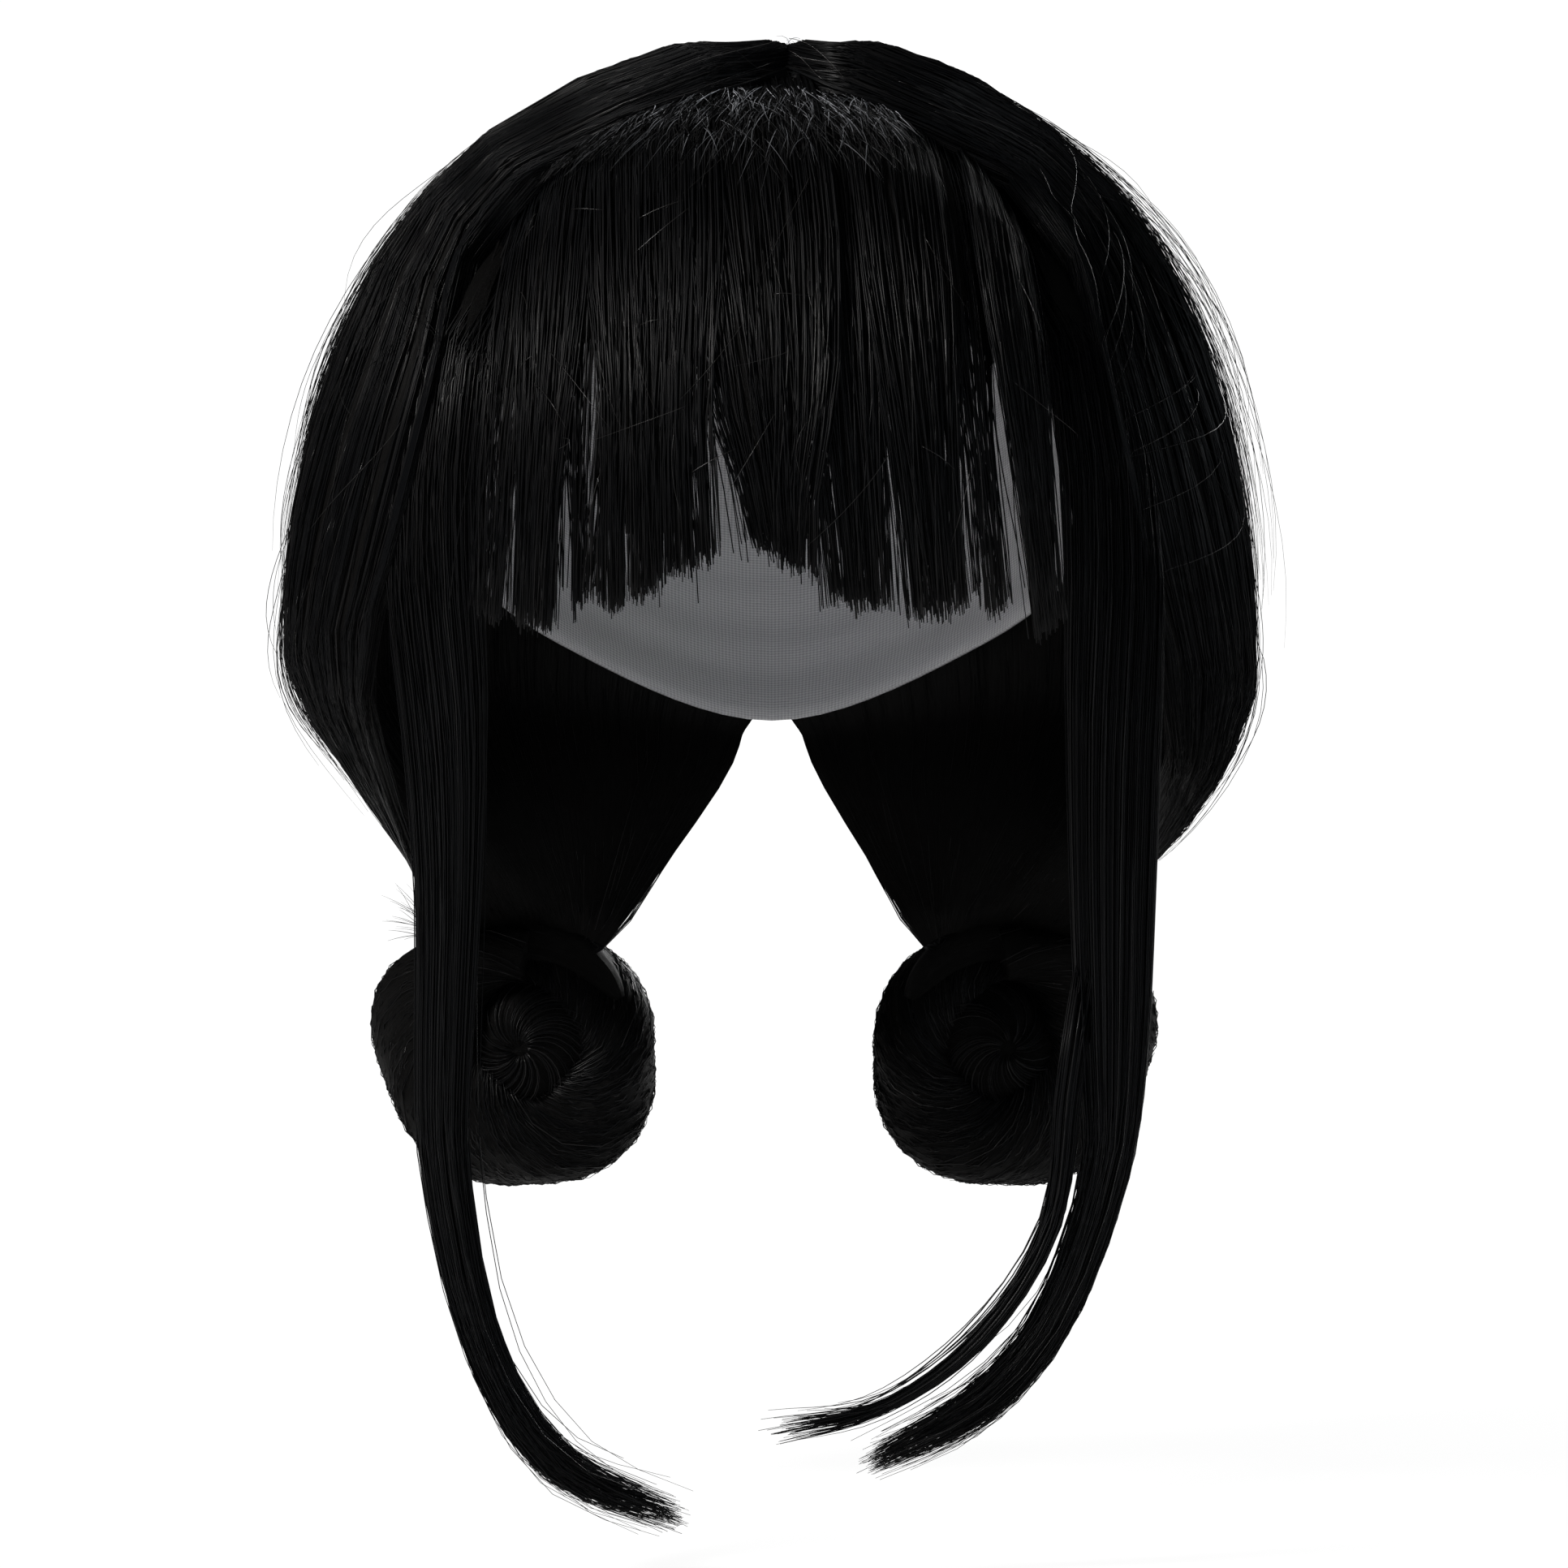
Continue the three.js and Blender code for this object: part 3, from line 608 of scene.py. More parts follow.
def crown_strands(side, count, rings):
    """Paths of one side's strands, gathered into locks, and the wisp of each."""
    lock_middle = (arange(CROWN_LOCKS) + random.uniform(0.2, 0.8, CROWN_LOCKS)) / CROWN_LOCKS
    lock_depth = random.uniform(-0.3, 1.3, CROWN_LOCKS)
    lock_sway = random.uniform(-1, 1, (CROWN_LOCKS, 2))
    wisp_depth = random.uniform(0, WISP_ROUND, CROWN_WISPS)
    wisp_sway = random.normal(0, 0.005, CROWN_WISPS)
    wisp_beat = random.uniform(0.6, 1.8, CROWN_WISPS)
    root = (arange(count) + random.uniform(0, 1, count)) / count
    wisp = np.floor(root * CROWN_WISPS).astype(int)
    wisp_middle = (wisp + 0.5) / CROWN_WISPS
    lock = abs(wisp_middle[:, None] - lock_middle[None]).argmin(1)
    away = wisp_middle - lock_middle[lock]
    start = random.uniform(0, 0.02, count)
    short = random.uniform(size=count) < SHORT_SHARE
    end = where(short, random.uniform(0.7, 0.95, count), random.uniform(0.95, 1, count))
    along = mix(start[:, None], end[:, None], steps(rings))
    swell = sin(pi * along ** 1.2)
    sway = 0.006 * sin(2 * pi * (along * 1.3 + lock_sway[lock, :1])) * lock_sway[lock, 1:]
    wisp_wander = wisp_sway[wisp][:, None] * sin(pi * along * wisp_beat[wisp][:, None])
    wander = wobble(0.0015, count) * sin(pi * along * each(0.6, 1.8, count))
    across = (lock_middle[lock][:, None] + away[:, None] * (1 - 0.45 * swell) + sway + wisp_wander + wander
              + (root - wisp_middle)[:, None] * (1 - 0.35 * swell))
    hump = LOCK_ROUND * minimum(1, (away * CROWN_LOCKS * 2) ** 2) + lock_depth[lock] + wisp_depth[wisp]
    layer = random.exponential(0.4, count)[:, None]
    depth = hump[:, None] * sin(pi * along) + layer + parting_groove(along) - 0.3
    paths = crown_points(side, clip(across, 0, 1), along, depth)
    paths[..., 0] -= side * each(-0.2, PARTING_CROSS, count) * maximum(0, 1 - along / CROSS_SHARE)
    return paths, wisp


print("locks and wisps on each side:", CROWN_LOCKS, CROWN_WISPS)

# %% The crown's lining, and both its sides
def lining_strands(side, count, rings, across_to, deepest, shallowest):
    """Strands inside the wall of hair, at its front edge or all over."""
    drift = wobble(0.004, count) * steps(rings)
    across = clip(each(0, across_to, count) + drift, 0, 1)
    along = mix(0.01, each(0.93, 1, count), steps(rings))
    depth = crown_thickness(across, along) * each(shallowest, deepest, count)
    return crown_points(side, across, along, depth)


def neck_strands(side, count, rings):
    """Strands from the end of the crown hair on into the bun."""
    across = random.beta(1, 0.6, (count, 1))
    last = crown_points(side, across, array([0.86, 0.93, 1.0]), each(0, 3, count))
    angle = radians(mix(50, 130, across) - each(0, 45, count))
    into = about_bun(side, each(22, 34, count), angle, each(-9, 6, count))
    return stack([curve_through(path, steps(rings)) for path in join([last, into], 1)])


CROWN_STRANDS, CROWN_RINGS = 1850, 14
EDGE_STRANDS, BACK_STRANDS, NECK_STRANDS, LINING_RINGS = 260, 170, 220, 10
for side, word in SIDES:
    dress(make_crown_mass(side, f"crown_mass_{word}"), MASS, f"crown_hair_{word}")
    paths, wisp = crown_strands(side, CROWN_STRANDS, CROWN_RINGS)
    dress_strands(f"crown_strands_{word}", paths, strand_looks(wisp))
    edge = lining_strands(side, EDGE_STRANDS, LINING_RINGS, across_to=0.014, deepest=1.05, shallowest=0.05)
    inside = lining_strands(side, BACK_STRANDS, LINING_RINGS, across_to=1, deepest=1.02, shallowest=0.9)
    lining = join([edge, inside, neck_strands(side, NECK_STRANDS, LINING_RINGS)])
    dress_strands(f"crown_lining_{word}", lining, strand_looks(arange(len(lining))))

# %% [markdown]
# ## The fringe
# The fringe starts in an arc of sewn roots over the brow and falls in blunt locks, nearly one sheet at
# the top and parted into tufts at the cut ends. Each row of the table is one lock, with its root, its
# tip and how wide it is at both. Grown hair would have to be cut and combed, and a table puts each tuft
# in its place. Strands fill the lock's lens, and their ends differ a little in length.

# %% The fringe's locks
FRINGE_LOCKS = array(
    [(-50, -60, -120, 9, 5, 9.2, 0, 0.5), (-44, -50, -121, 13, 11, 11, 0, 1),
     (-36, -39, -117, 12, 5, 9, 0.02, 0.5), (-26, -23.5, -113, 23, 25, 11, 0.05, 1),
     (-7, 3, -108, 27, 11, 10.4, -0.03, 1), (9, 19, -117, 15, 11.5, 9.4, -0.01, 1),
     (23, 35, -119, 15.5, 12.5, 11, 0, 1), (35, 47, -118, 8, 10, 9, 0, 0.45),
     (46, 59.5, -121, 14, 11, 10.6, 0, 0.9)],
    dtype=fields("root tip tip_z root_width tip_width lift slant fill"))
FRINGE_THICKNESS = 4.6
ROOT_LIFT, LIFT_SHARE = 5.0, 0.3
ROOT_Y, ROOT_CURVE, ROOT_REACH = -42.0, 14.0, 50.0
SPLIT_SHARE = 0.7


def on_brow(x, tilt, lift):
    """A point over the brow: x across, tilted forward from upright, lifted off the egg."""
    axes = EGG + np.asarray(lift)[..., None]
    round_share = sqrt(1 - (x / axes[..., 0]) ** 2)
    y = -axes[..., 1] * round_share * sin(tilt)
    z = axes[..., 2] * round_share * cos(tilt)
    return stack(np.broadcast_arrays(x, y, z), -1) + EGG_MIDDLE


def root_tilt(x):
    axes = EGG + ROOT_LIFT
    root_y = ROOT_Y + ROOT_CURVE * (x / ROOT_REACH) ** 2
    return np.arcsin(-root_y / (axes[1] * sqrt(1 - (x / axes[0]) ** 2)))


def fringe_frame(row, share):
    """The middle line of a lock and its two half axes."""
    round_share = math.sqrt(1 - (row["tip"] / (EGG[0] + row["lift"])) ** 2)
    tip_tilt = math.acos((row["tip_z"] - EGG_MIDDLE[2]) / ((EGG[2] + row["lift"]) * round_share))

    def middle(at):
        lift = mix(ROOT_LIFT, row["lift"], smoothstep(at, 0, LIFT_SHARE))
        return on_brow(mix(row["root"], row["tip"], at), mix(root_tilt(row["root"]), tip_tilt, at), lift)

    points = middle(share)
    outward = unit((points - EGG_MIDDLE) / EGG / EGG)
    wide = unit(cross(middle(share + STEP) - middle(share - STEP), outward))
    half = mix(row["root_width"], row["tip_width"], smoothstep(share, SPLIT_SHARE, 1)) / 2
    return points, wide, outward, half


print("tilt of the middle root in degrees:", round(math.degrees(root_tilt(0)), 1))

# %% The fringe's mass
def flat_tube(points, wide, thick, sides):
    """Rings of a flat tube about a middle line, from its half axes."""
    turn = round_turn(sides)[:, None]
    return points[:, None] + wide[:, None] * cos(turn) + thick[:, None] * sin(turn)


FRINGE_ROWS, FRINGE_SIDES = 26, 14
tubes = []
for row in FRINGE_LOCKS:
    share = linspace(0, 0.93 * smoothstep(row["fill"], 0.1, 0.8), FRINGE_ROWS)
    slim = 0.8 * math.sqrt(row["fill"]) * (1 - 0.3 * smoothstep(share, 0.6, 0.95))
    points, wide, outward, half = fringe_frame(row, share)
    thick = 0.5 * FRINGE_THICKNESS / 2 * outward
    tubes.append(flat_tube(points, (slim * half)[:, None] * wide, thick, FRINGE_SIDES))
dress(lock_mass("fringe_mass", tubes), MASS, "fringe")

# %% The fringe's strands
FRINGE_DENSITY, FRINGE_RINGS, FRINGE_WISP = 24, 11, 6
STRAY_SHARE, STRAY_REACH, TIDY_REACH = 0.13, 3.2, 0.45
SHEET_FILL = 3.0


def fringe_strands(row, count, rings):
    """Paths of one lock's strands, drawn into tufts at the cut ends, and the wisp of each."""
    place = clip((arange(count) + random.uniform(0, 1, count)) / count * 2 - 1, -1, 1)
    wisps = max(4, count // FRINGE_WISP)
    wisp = minimum(np.floor((place + 1) / 2 * wisps), wisps - 1).astype(int)
    wisp_middle = ((wisp + 0.5) / wisps * 2 - 1)[:, None]
    wisp_end = random.normal(0, 0.01, wisps) - 0.035 * (random.uniform(size=wisps) < 0.12)
    wisp_lean = random.normal(0, 1.3, wisps)
    wisp_bow = random.normal(0, 1.0, wisps)
    end = 1 + wisp_end[wisp] + random.normal(0, 0.007, count) + row["slant"] * place
    share = mix(-0.05, end[:, None], steps(rings))
    points, wide, outward, half = fringe_frame(row, share)
    low = smoothstep(share, 0.35, 1)
    tufts = max(2, round(row["tip_width"] / 3))
    tuft = (np.floor((wisp_middle + 1) / 2 * tufts) + 0.5) / tufts * 2 - 1
    spread = mix(mix(place[:, None], wisp_middle, 0.5 * low), tuft, 0.35 * low)
    filling = SHEET_FILL * (1 - smoothstep(share, 0.45, 0.8)) * place[:, None]
    far = where(random.uniform(size=(count, 1)) < STRAY_SHARE, STRAY_REACH, TIDY_REACH)
    stray = far * wobble(1, count)
    bow = (wobble(1.2, count) + wisp_bow[wisp][:, None]) * sin(pi * clip(share, 0, 1))
    sideways = half * spread + filling + low * (wisp_lean[wisp][:, None] + stray) + 0.6 * bow
    weave = sin(2 * pi * (each(0.8, 2.2, count) * share + each(0, 1, count)))
    height = sqrt(1 - 0.9 * place ** 2) * random.uniform(-0.6, 1, count) * FRINGE_THICKNESS / 2
    raised = height[:, None] + random.normal(0, 0.8) * place[:, None] + 0.45 * weave + 0.25 * low * stray
    return points + wide * sideways[..., None] + outward * raised[..., None], wisp


lock_width = (FRINGE_LOCKS["root_width"] + FRINGE_LOCKS["tip_width"]) / 2
counts = FRINGE_DENSITY * FRINGE_LOCKS["fill"] * lock_width
locks = [fringe_strands(row, int(count), FRINGE_RINGS) for row, count in zip(FRINGE_LOCKS, counts)]
first_wisp = np.cumsum([0] + [wisp.max() + 1 for _, wisp in locks])
wisp = join([first + wisp for first, (_, wisp) in zip(first_wisp, locks)])
paths = join([path for path, _ in locks])
widths, shades = strand_looks(wisp)
# The strands are painted darker and less glossy near their roots: a painted shadow under the fuzz.
painted_shade_under_fuzz = mix(0.35, 0.95, smoothstep(steps(FRINGE_RINGS), 0.15, 0.5))
dress_strands("fringe_strands", paths, (widths, shades[:, None] * painted_shade_under_fuzz), tip=0.7)

# %% Hair that closes the crown's front edge
BROW_STRANDS, BROW_RINGS = 230, 11
BROW_END, BROW_REACH = 0.2, 51.0
BROW_LIFT, BROW_PAINTED_SHADE = 7.5, 0.35


def brow_strands(side, count, rings):
    """Strands between the crown's front edge and the arc of fringe roots."""
    along = mix(each(0, 0.03, count), each(0.5, 0.9, count), steps(rings))
    edge = crown_points(side, each(0, 0.012, count), along, 0.3)
    from_parting = minimum(1, along / BROW_END)
    x = PARTING_X * (1 - from_parting) + side * BROW_REACH * from_parting ** 0.8
    roots = on_brow(x, root_tilt(x) - 0.03, np.full(x.shape, BROW_LIFT))
    share = each(0, 1, count) * (1 - smoothstep(along, 0.12, 0.34))
    return mix(edge, roots, share[..., None])


paths = join([brow_strands(side, BROW_STRANDS, BROW_RINGS) for side in (-1, 1)])
widths, shades = strand_looks(arange(len(paths)))
# Their shades are scaled down, darker and less glossy: a painted shadow under the crown's front edge.
dress_strands("brow_strands", paths, (widths, BROW_PAINTED_SHADE * shades))

# %% [markdown]
# ## The side locks
# A long lock hangs at each side and curls inward at its tip. A curve with a round bevel would be too
# thick, because the lock is flat. So stations give its middle, its half width and thickness, and how far
# its flat is turned to the side. Near the tip the strands end one by one, so the tip is frayed.

# %% Stations of the side locks
LOCK_TOP = [(48, -24, -21, 8, 3.5, 35), (64, -44, -48, 12.5, 4, 50)]
LOCK_STATIONS = {
    "left": LOCK_TOP + [
        (71, -49, -78, 13.5, 4.5, 45), (73, -51, -110, 12, 5, 25), (71, -49, -144, 9.5, 5.5, 5),
        (70.5, -46, -180, 7.4, 5.5, 0), (71.5, -45, -215, 6.6, 5, 0), (71, -45, -241, 6, 4.5, 0),
        (63, -46, -278, 5.2, 4, 0), (47, -48, -304, 4.8, 3.4, 0), (20, -50, -316, 1.2, 0.8, 0)],
    "right": LOCK_TOP + [
        (72, -49, -78, 13.5, 4.5, 45), (75, -51, -110, 12, 5, 25), (75, -49, -144, 10.5, 5.5, 5),
        (75, -46, -180, 9.4, 5.5, 0), (75, -45, -215, 8, 5, 0), (73.5, -45, -241, 5.6, 4.2, 0),
        (62.5, -46, -272, 5, 3.8, 0), (46, -48, -291.5, 4.2, 3, 0), (22, -50, -304, 1.2, 0.8, 0)],
    "inner": [
        (69, -47, -196, 3, 3, 0), (65, -48, -222, 3, 2.6, 0), (61, -49, -252, 2.3, 2, 0),
        (46, -51, -276, 2, 1.6, 0), (25, -53, -291, 1.5, 1.2, 0), (2, -54, -296, 0.7, 0.6, 0)],
}
SIDE_LOCKS = {word: array(rows, fields("x y z half thick face")) for word, rows in LOCK_STATIONS.items()}
print("stations:", {word: len(rows) for word, rows in SIDE_LOCKS.items()})

# %% The side locks
def hanging_frame(side, stations, share):
    """The middle line of a hanging lock and its two half axes."""
    route = np.column_stack([side * stations["x"], stations["y"], stations["z"]])
    sizes = curve_through(np.column_stack([stations["half"], stations["thick"], stations["face"]]), share)
    points = curve_through(route, share)
    below, above = minimum(share + STEP, 1), maximum(share - STEP, 0)
    down = curve_through(route, below) - curve_through(route, above)
    face = radians(sizes[..., 2])
    forward = stack([side * sin(face), -cos(face), 0 * face], -1)
    wide = unit(cross(down, forward))
    return clear_of_cap(points), wide * sizes[..., :1], forward * sizes[..., 1:2]


def hanging_mass(side, stations, fill):
    share = linspace(0, 0.93, 56)
    points, wide, thick = hanging_frame(side, stations, share)
    size = fill * mix(0.3, 1, smoothstep(share, 0, 0.25))[:, None]
    return flat_tube(points, size * wide, size * thick, 20)


def hanging_strands(side, stations, count, rings, fray):
    """Paths of a lock's strands, the shortest of them shorter by `fray`."""
    angle = random.uniform(0, 2 * pi, count)
    reach = sqrt(random.uniform(0.35, 1, count))
    start = random.uniform(0, 0.06, count)
    end = 1 - fray * random.beta(1.1, 3, count)
    share = mix(start[:, None], end[:, None], steps(rings) ** 0.7)
    points, wide, thick = hanging_frame(side, stations, share)
    tufts = random.uniform(0, 2 * pi, LOCK_TUFTS)
    tuft = tufts[abs(np.angle(np.exp(1j * (angle[:, None] - tufts[None])))).argmin(1)]
    bend = 0.4 * smoothstep(share, 0.4, 1)
    flat = mix((reach * cos(angle))[:, None], (0.7 * cos(tuft))[:, None], bend)
    deep = mix((reach * sin(angle))[:, None], (0.7 * sin(tuft))[:, None], bend)
    strays = random.uniform(size=(count, 1)) < LOCK_STRAYS
    free = where(strays, smoothstep(share, 0.25, 0.7) * 2.4, 0)
    away = random.normal(0, 1, (count, 1, 3))
    away[..., 0] = mix(away[..., 0], -side * abs(away[..., 0]), 0.8)
    loose = away * (smoothstep(share, 0.75, 1.05) * 1.7 + 0.12 + free)[..., None]
    return points + wide * flat[..., None] + thick * deep[..., None] + loose


LOCK_STRANDS, INNER_STRANDS, LOCK_RINGS = 660, 130, 18
LOCK_TUFTS, LOCK_STRAYS = 9, 0.06
for side, word in SIDES:
    tubes = [hanging_mass(side, SIDE_LOCKS[word], 0.75)]
    paths = [hanging_strands(side, SIDE_LOCKS[word], LOCK_STRANDS, LOCK_RINGS, 0.16)]
    if word == "right":
        tubes.append(hanging_mass(side, SIDE_LOCKS["inner"], 0.6))
        paths.append(hanging_strands(side, SIDE_LOCKS["inner"], INNER_STRANDS, LOCK_RINGS, 0.25))
    dress(lock_mass(f"side_lock_mass_{word}", tubes), MASS, f"side_lock_{word}")
    paths = join(paths)
    looks = strand_looks(random.integers(0, len(paths) // 4, len(paths)))
    dress_strands(f"side_lock_strands_{word}", paths, looks)

# %% [markdown]
# ## The buns
# Each bun is one thick rope of hair, twisted and coiled into a ball. The rope's middle is a spiral that
# narrows as it comes backward, and its section has three soft lobes that turn along it. A bevelled curve
# could give the coil, but its strands would need the same maths, so both come from one function.

# %% The coiled rope
ROPE, LOBES, LOBE_DEPTH, TWISTS = 14.5, 3, 0.07, 2.5
OUTER_TURN, INNER_TURN, TURNS, START_ANGLE = 22, 7, 1.6, 100
START_Y, END_Y, LEAN = -10, 17, 0.12
END_SIZE, END_SHARE = 0.45, 0.14
ROPE_ROWS, ROPE_SIDES, ROPE_FILL = 110, 36, 0.955


def coil_middle(share):
    angle = radians(START_ANGLE - 360 * TURNS * share)
    radius = mix(OUTER_TURN, INNER_TURN, share * share)
    y = BUN_Y + mix(START_Y, END_Y, share)
    rise = radius * sin(angle)
    return stack([radius * cos(angle) + LEAN * rise, y, BUN_Z + rise], -1)


def rope_points(share, turn, fill):
    """Points of the twisted rope; `turn` goes with the twist, so a strand keeps its own."""
    share, turn, fill = np.broadcast_arrays(share, turn, fill)
    onward = unit(coil_middle(share + STEP) - coil_middle(share - STEP))
    outward = unit(cross(onward, [0, 1.0, 0]))
    across = cross(outward, onward)
    angle = turn + 2 * pi * TWISTS * share
    lobe = 1 + LOBE_DEPTH * cos(LOBES * turn)
    from_end = smoothstep(minimum(share, 1 - share), 0, END_SHARE)
    radius = ROPE * lobe * mix(END_SIZE, 1, from_end) * fill
    return coil_middle(share) + radius[..., None] * (
        outward * cos(angle)[..., None] + across * sin(angle)[..., None])


def on_side(points, side):
    return (points + [BUN_X[side], 0, 0]) * [side, 1, 1]


print("the rope starts at", coil_middle(0).round(1))

# %% Both buns
CORE, CORE_Y, CORE_FILL, CORE_SWIRL = 19.5, 3.0, 0.96, 1.3
NECK_ANGLES, NECK_RADIUS, NECK_THICK = (44, 154), 25.8, 5.4
BUN_STRANDS, CORE_STRANDS, BUN_RINGS = 770, 150, 11


def bun_strands(side, count, rings):
    turn = each(0, 2 * pi, count)
    start = each(-0.02, 0.8, count)
    length = each(0.22, 0.4, count)
    share = minimum(start + length * steps(rings), 1.01)
    passed = (share - start) / length
    fill = each(0.955, 0.99, count) + 0.008 * wobble(1, count) * passed
    wander = wobble(0.1, count) * passed
    return on_side(rope_points(share, turn + wander, fill), side)


def bun_core(side, radius, rows=24, sides=40):
    """A ball that fills the middle of the coil."""
    tilt, turn = grid(linspace(0.02, pi - 0.02, rows), round_turn(sides))
    return about_bun(side, radius * sin(tilt), turn, CORE_Y - radius * cos(tilt))


def core_strands(side, count, rings):
    """Strands that swirl over both faces of the ball."""
    turn = each(0, 2 * pi, count)
    tilt = mix(0.1, each(0.9, 1.5, count), steps(rings))
    face = where(random.uniform(size=(count, 1)) < 0.5, -1, 1)
    radius = CORE * each(0.97, 1.04, count)
    y = CORE_Y + face * radius * cos(tilt)
    return about_bun(side, radius * sin(tilt), turn + CORE_SWIRL * tilt, y)


def bun_neck(side, rows=30, sides=14):
    """Hair wound over the top of the bun, where the gathered crown hair enters it."""
    angle, turn = grid(radians(linspace(*NECK_ANGLES, rows)), round_turn(sides))
    thick = NECK_THICK * sqrt(sin(linspace(0.1, pi - 0.1, rows)))[:, None]
    return about_bun(side, NECK_RADIUS + thick * cos(turn), angle, GATHER_Y + thick * sin(turn))


for side, word in SIDES:
    share, turn = grid(steps(ROPE_ROWS), round_turn(ROPE_SIDES))
    rope = on_side(rope_points(share, turn, ROPE_FILL), side)
    masses = [rope[:, ::side], bun_core(side, CORE_FILL * CORE)[:, ::-side], bun_neck(side)[:, ::side]]
    dress(lock_mass(f"bun_mass_{word}", masses), MASS, f"bun_{word}")
    paths = join([bun_strands(side, BUN_STRANDS, BUN_RINGS), core_strands(side, CORE_STRANDS, BUN_RINGS)])
    dress_strands(f"bun_strands_{word}", paths, strand_looks(arange(len(paths)), thin=0.2, thick=0.34))

# %% [markdown]
# ## Loose hairs
# A wig that has been handled has loose hairs: short fuzz along the sewn roots of the fringe, ends that
# stand off the outline, and a few that lie across their neighbours. They could be drawn by hand. Here
# they start on the crown's own surface, so each one belongs to the hair under it.

# %% Fuzz along the roots
# The fuzz is the same black fibre: its near-white colour and coat (pale), fading towards each hair's tip,
# are a painted glint.
FUZZ_DARK, FUZZ_PAINTED_GLINT = (0.001, 0.001, 0.001), (0.9, 0.93, 1.0)
fuzz_material, tree = new_material("root_fuzz_painted_glint")
shade, along = attribute(tree, "shade"), attribute(tree, "along")
pale = shade ** 2 * (1 - 0.9 * along)
end_in_surface(fuzz_material, {
    "Base Color": blend_colours(tree, pale, FUZZ_DARK, FUZZ_PAINTED_GLINT), "Roughness": 0.5 - 0.1 * shade,
    "Specular IOR Level": 0.15, "Coat Weight": pale, "Coat Roughness": 0.25})

FUZZ, FUZZ_RINGS = 1200, 6
FUZZ_FAN, FUZZ_DEPTH, FUZZ_REACH = 0.015, 0.36, 62
reach = steps(FUZZ_RINGS)
fuzz_x = each(-47, 27, FUZZ)
fuzz_narrow = 1 - (fuzz_x / FUZZ_REACH) ** 2
fuzz_length = each(7, 14, FUZZ) * fuzz_narrow
fuzz_turn = wobble(0.25, FUZZ) + FUZZ_FAN * fuzz_x
fuzz_curl = wobble(0.12, FUZZ)
fuzz_root = FUZZ_DEPTH * random.beta(1, 1.7, (FUZZ, 1)) * fuzz_narrow
fuzz_drop = fuzz_root + fuzz_length * reach / EGG[2]
fuzz_stand = each(0, 1.2, FUZZ) * sin(2.6 * reach)
fuzz_lift = mix(8.7, 15.2, smoothstep(fuzz_drop, 0, 0.4)) + fuzz_stand
fuzz_paths = on_brow(fuzz_x + (fuzz_turn * reach + fuzz_curl * reach ** 2) * fuzz_length,
                     root_tilt(fuzz_x) + 0.03 + fuzz_drop, fuzz_lift)
# Each hair's painted glint is random, and is painted darker for hairs that start lower and towards the left
# end: painted shade.
fuzz_painted_glint = random.beta(0.4, 0.9, FUZZ) * (1 - 2 * fuzz_root[:, 0])
fuzz_painted_glint *= mix(0.3, 1, smoothstep(fuzz_x[:, 0], -47, -18))
print("short hairs along the roots:", FUZZ)

# %% Loops in the parting
LOOPS, LOOP_Z = 18, 9.4
loop_turn = each(0, 2 * pi, LOOPS) + each(1.5, 3.5, LOOPS) * reach
loop_size = each(0.8, 2.4, LOOPS)
loop_y = each(-28, -10, LOOPS) + 3 * reach
loop_z = LOOP_Z - 4 * (loop_y / 33) ** 2 + each(-1, 1, LOOPS) + loop_size * sin(loop_turn)
loop_x = PARTING_X + wobble(2.2, LOOPS) + loop_size * cos(loop_turn)
fuzz_paths = join([fuzz_paths, stack([loop_x, loop_y, loop_z], -1)])
# The loops carry a bright painted glint too.
fuzz_painted_glint = join([fuzz_painted_glint, random.uniform(0.5, 1, LOOPS)])
widths = random.uniform(0.15, 0.24, FUZZ + LOOPS)
dress_strands("root_fuzz", fuzz_paths, (widths, fuzz_painted_glint), fuzz_material)

# %% Hairs that stand off the crown
# Each row is one group: where it starts on the crown, how far it runs, stands off and drifts.
LOOSE_GROUPS = array(
    [(-1, 110, 0.05, 0.7, 0.12, 0.75, 0.22, 2, 0.03), (1, 110, 0.05, 0.7, 0.12, 0.75, 0.22, 2, 0.03),
     (-1, 34, 0.3, 0.46, 0.22, 0.42, 0.26, 4, 0.03), (1, 80, 0.3, 0.48, 0.16, 0.4, 0.3, 6, 0.03),
     (-1, 30, 0.26, 0.42, 0.6, 0.68, 0.2, 3.4, 0.02), (-1, 26, 0.02, 0.34, 0.2, 0.55, 0.1, 1.4, 0.3),
     (1, 34, 0.02, 0.34, 0.2, 0.6, 0.12, 1.4, 0.3), (-1, 9, 0, 0.1, 0, 0.04, 0.1, 1.2, 0.06),
     (1, 9, 0, 0.1, 0, 0.04, 0.1, 1.2, 0.06)],
    dtype=[("side", int), ("count", int)]
    + fields("across_from across_to start_from start_to length stand drift"))
LOOSE_RINGS = 12


def loose_group(row):
    count = row["count"]
    reach = steps(LOOSE_RINGS)
    across = each(row["across_from"], row["across_to"], count)
    start = each(row["start_from"], row["start_to"], count)
    along = start + row["length"] * each(0.5, 1.3, count) * reach
    stand = random.exponential(0.5, (count, 1)).clip(0, 1.1) * row["stand"] + 0.4
    bow = sin(pi * reach ** each(0.7, 1.6, count) * each(0.5, 1, count))
    drift = wobble(row["drift"], count) * reach ** each(1, 2, count)
    return crown_points(row["side"], clip(across + drift, 0, 1), minimum(along, 1), -stand * bow)


loose_paths = join([loose_group(row) for row in LOOSE_GROUPS])
looks = random.uniform(0.12, 0.2, len(loose_paths)), random.uniform(0, 1, len(loose_paths))
dress_strands("loose_hairs", loose_paths, looks)

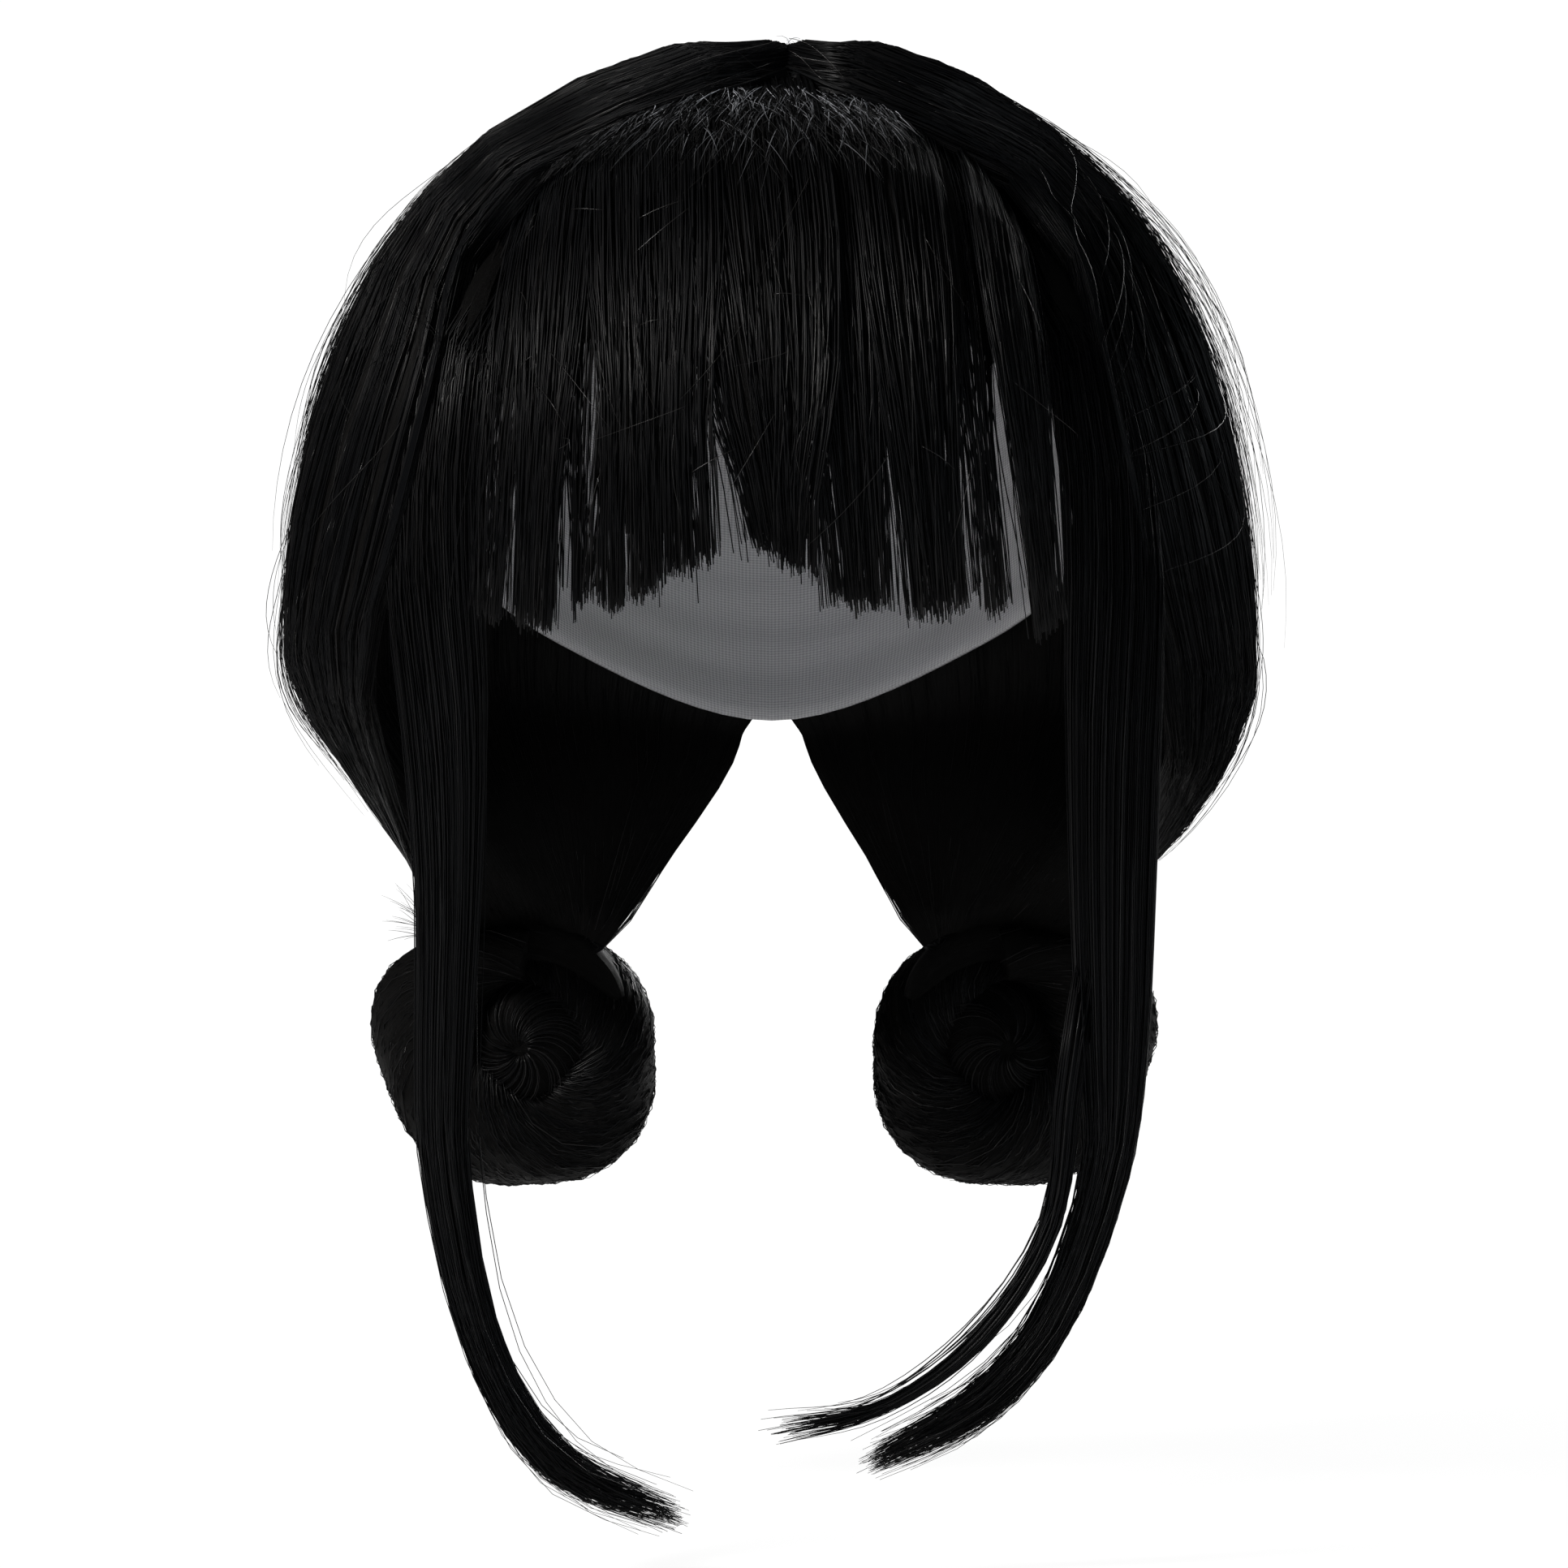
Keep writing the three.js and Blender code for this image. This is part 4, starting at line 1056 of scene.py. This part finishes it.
# %% Hairs that lie across the fringe, and a tuft of ends over the left bun
CROSSING, CROSS_LIFT, CROSS_END = 36, 13.6, 66
TUFT, TUFT_ROOT, TUFT_WAY, TUFT_SAG = 26, array([-80.0, 74, -192]), array([-0.75, 0, 0.66]), 3.0
reach = steps(LOOSE_RINGS)
cross_x = each(-55, 55, CROSSING)
cross_turn = wobble(7, CROSSING) * reach + wobble(6, CROSSING) * reach ** 2
cross_tilt = each(0.75, 1.6, CROSSING) + each(-0.05, 0.3, CROSSING) * reach
cross_lift = CROSS_LIFT + each(0, 1.5, CROSSING) * sin(pi * reach)
cross_paths = on_brow(clip(cross_x + cross_turn, -CROSS_END, CROSS_END), cross_tilt, cross_lift)
tuft_root = TUFT_ROOT + random.normal(0, 2, (TUFT, 1, 3))
tuft_way = unit(TUFT_WAY + random.normal(0, 0.28, (TUFT, 1, 3)))
tuft_sag = array([0, 0, -TUFT_SAG]) * (reach ** 2)[..., None]
tuft_paths = tuft_root + tuft_way * reach[..., None] * random.uniform(10, 20, (TUFT, 1, 1)) + tuft_sag
paths = join([cross_paths, tuft_paths])
looks = random.uniform(0.13, 0.21, len(paths)), random.uniform(0.8, 1, len(paths))
dress_strands("crossing_hairs", paths, looks)
print("triangles in all:", sum(triangle_counts.values()))

# %% [markdown]
# ## Floor, light and camera
# Black hair shows by its gloss, so the light matters more than the colour. The main soft light stands
# high on the left. A weak one hangs above, a cool one fills the right, a low one in front reaches the
# cap under the fringe, and one behind draws the edges. The floor is pale and fades into a white surround.

# %% The floor
FLOOR_GAP = 0.012
FLOOR_RADIUS = 4.0
floor_material, tree = new_material("pale_floor")
place = Wire.node(tree, "NewGeometry", "Position")
noise = Wire.node(tree, "TexNoise", "Fac", {"Vector": place, "Scale": 9.0, "Detail": 2.0})
colour = blend_colours(tree, noise, (0.88, 0.88, 0.88), (0.92, 0.92, 0.92))
surface = Wire.node(tree, "BsdfPrincipled", "BSDF", {"Base Color": colour, "Roughness": 0.8})
white = Wire.node(tree, "Emission", "Emission", {"Color": (1, 1, 1, 1), "Strength": 1.05})
seen = Wire.node(tree, "LightPath", "Is Camera Ray")
distance = Wire.node(tree, "VectorMath", "Value", {"Vector": place}, operation="LENGTH")
inputs = {"Value": distance, "From Min": 0.35, "From Max": 1.3, "To Min": 0.88, "To Max": 1.0}
far = Wire.node(tree, "MapRange", "Result", inputs, interpolation_type="SMOOTHSTEP")
inputs = {"Fac": far * seen, "Shader": surface, "Shader_001": white}
Wire.node(tree, "OutputMaterial", None, {"Surface": Wire.node(tree, "MixShader", "Shader", inputs)})

bpy.ops.mesh.primitive_circle_add(vertices=96, radius=FLOOR_RADIUS, fill_type="NGON",
                                  location=(0, 0, cad_low.z - FLOOR_GAP))
floor = bpy.context.object
floor.name = "floor"
floor.data.materials.append(floor_material)
print("floor at z in mm:", round(floor.location.z / MM, 1))

# %% Lights and surround
def soft_light(name, place, aim, width, height, power, colour=(1, 1, 1)):
    light = bpy.data.lights.new(name, "AREA")
    light.shape = "RECTANGLE"
    light.size, light.size_y, light.energy, light.color = width, height, power, colour
    lamp = bpy.data.objects.new(name, light)
    lamp.location = place
    lamp.rotation_euler = (Vector(aim) - Vector(place)).to_track_quat("-Z", "Y").to_euler()
    bpy.context.collection.objects.link(lamp)
    print(f"{name} light: {power} W")


MIDDLE = (0, 0, -0.12)
soft_light("key", (-1.1, -0.85, 0.85), MIDDLE, 0.35, 0.35, 33, (1, 0.98, 0.96))
soft_light("top", (-0.3, 0.4, 1.3), MIDDLE, 0.6, 0.4, 1.5)
soft_light("fill", (1.3, -0.9, 0.3), MIDDLE, 0.5, 0.8, 4, (0.85, 0.93, 1))
soft_light("low", (0.0, -1.2, -0.27), (0, 0.03, -0.09), 0.7, 0.08, 1.2, (0.85, 0.93, 1))
soft_light("back", (0.7, 1.3, 0.35), MIDDLE, 0.8, 0.5, 16)

world = bpy.data.worlds.new("surround")
world.use_nodes = True
bpy.context.scene.world = world
tree = world.node_tree
tree.nodes.clear()
strength = 0.05 + 1.0 * Wire.node(tree, "LightPath", "Is Camera Ray")
surround = Wire.node(tree, "Background", "Background", {"Color": (1, 1, 1, 1), "Strength": strength})
Wire.node(tree, "OutputWorld", None, {"Surface": surround})

# %% The camera
CAMERA = {"place": (0.003, -1.25, -0.156), "lens": 126.6, "sensor": 36.0}
camera_data = bpy.data.cameras.new("camera")
camera_data.lens, camera_data.sensor_width = CAMERA["lens"], CAMERA["sensor"]
camera = bpy.data.objects.new("camera", camera_data)
camera.location = CAMERA["place"]
camera.rotation_euler = (pi / 2, 0, 0)
bpy.context.collection.objects.link(camera)
bpy.context.scene.camera = camera
bpy.context.scene.view_settings.view_transform = "Standard"
print("camera at", CAMERA["place"], "with a lens of", CAMERA["lens"], "mm")

# %% [markdown]
# ## Closing
# The dressed wig is meant to keep the CAD model's size; the CAD model's box is printed at the start.
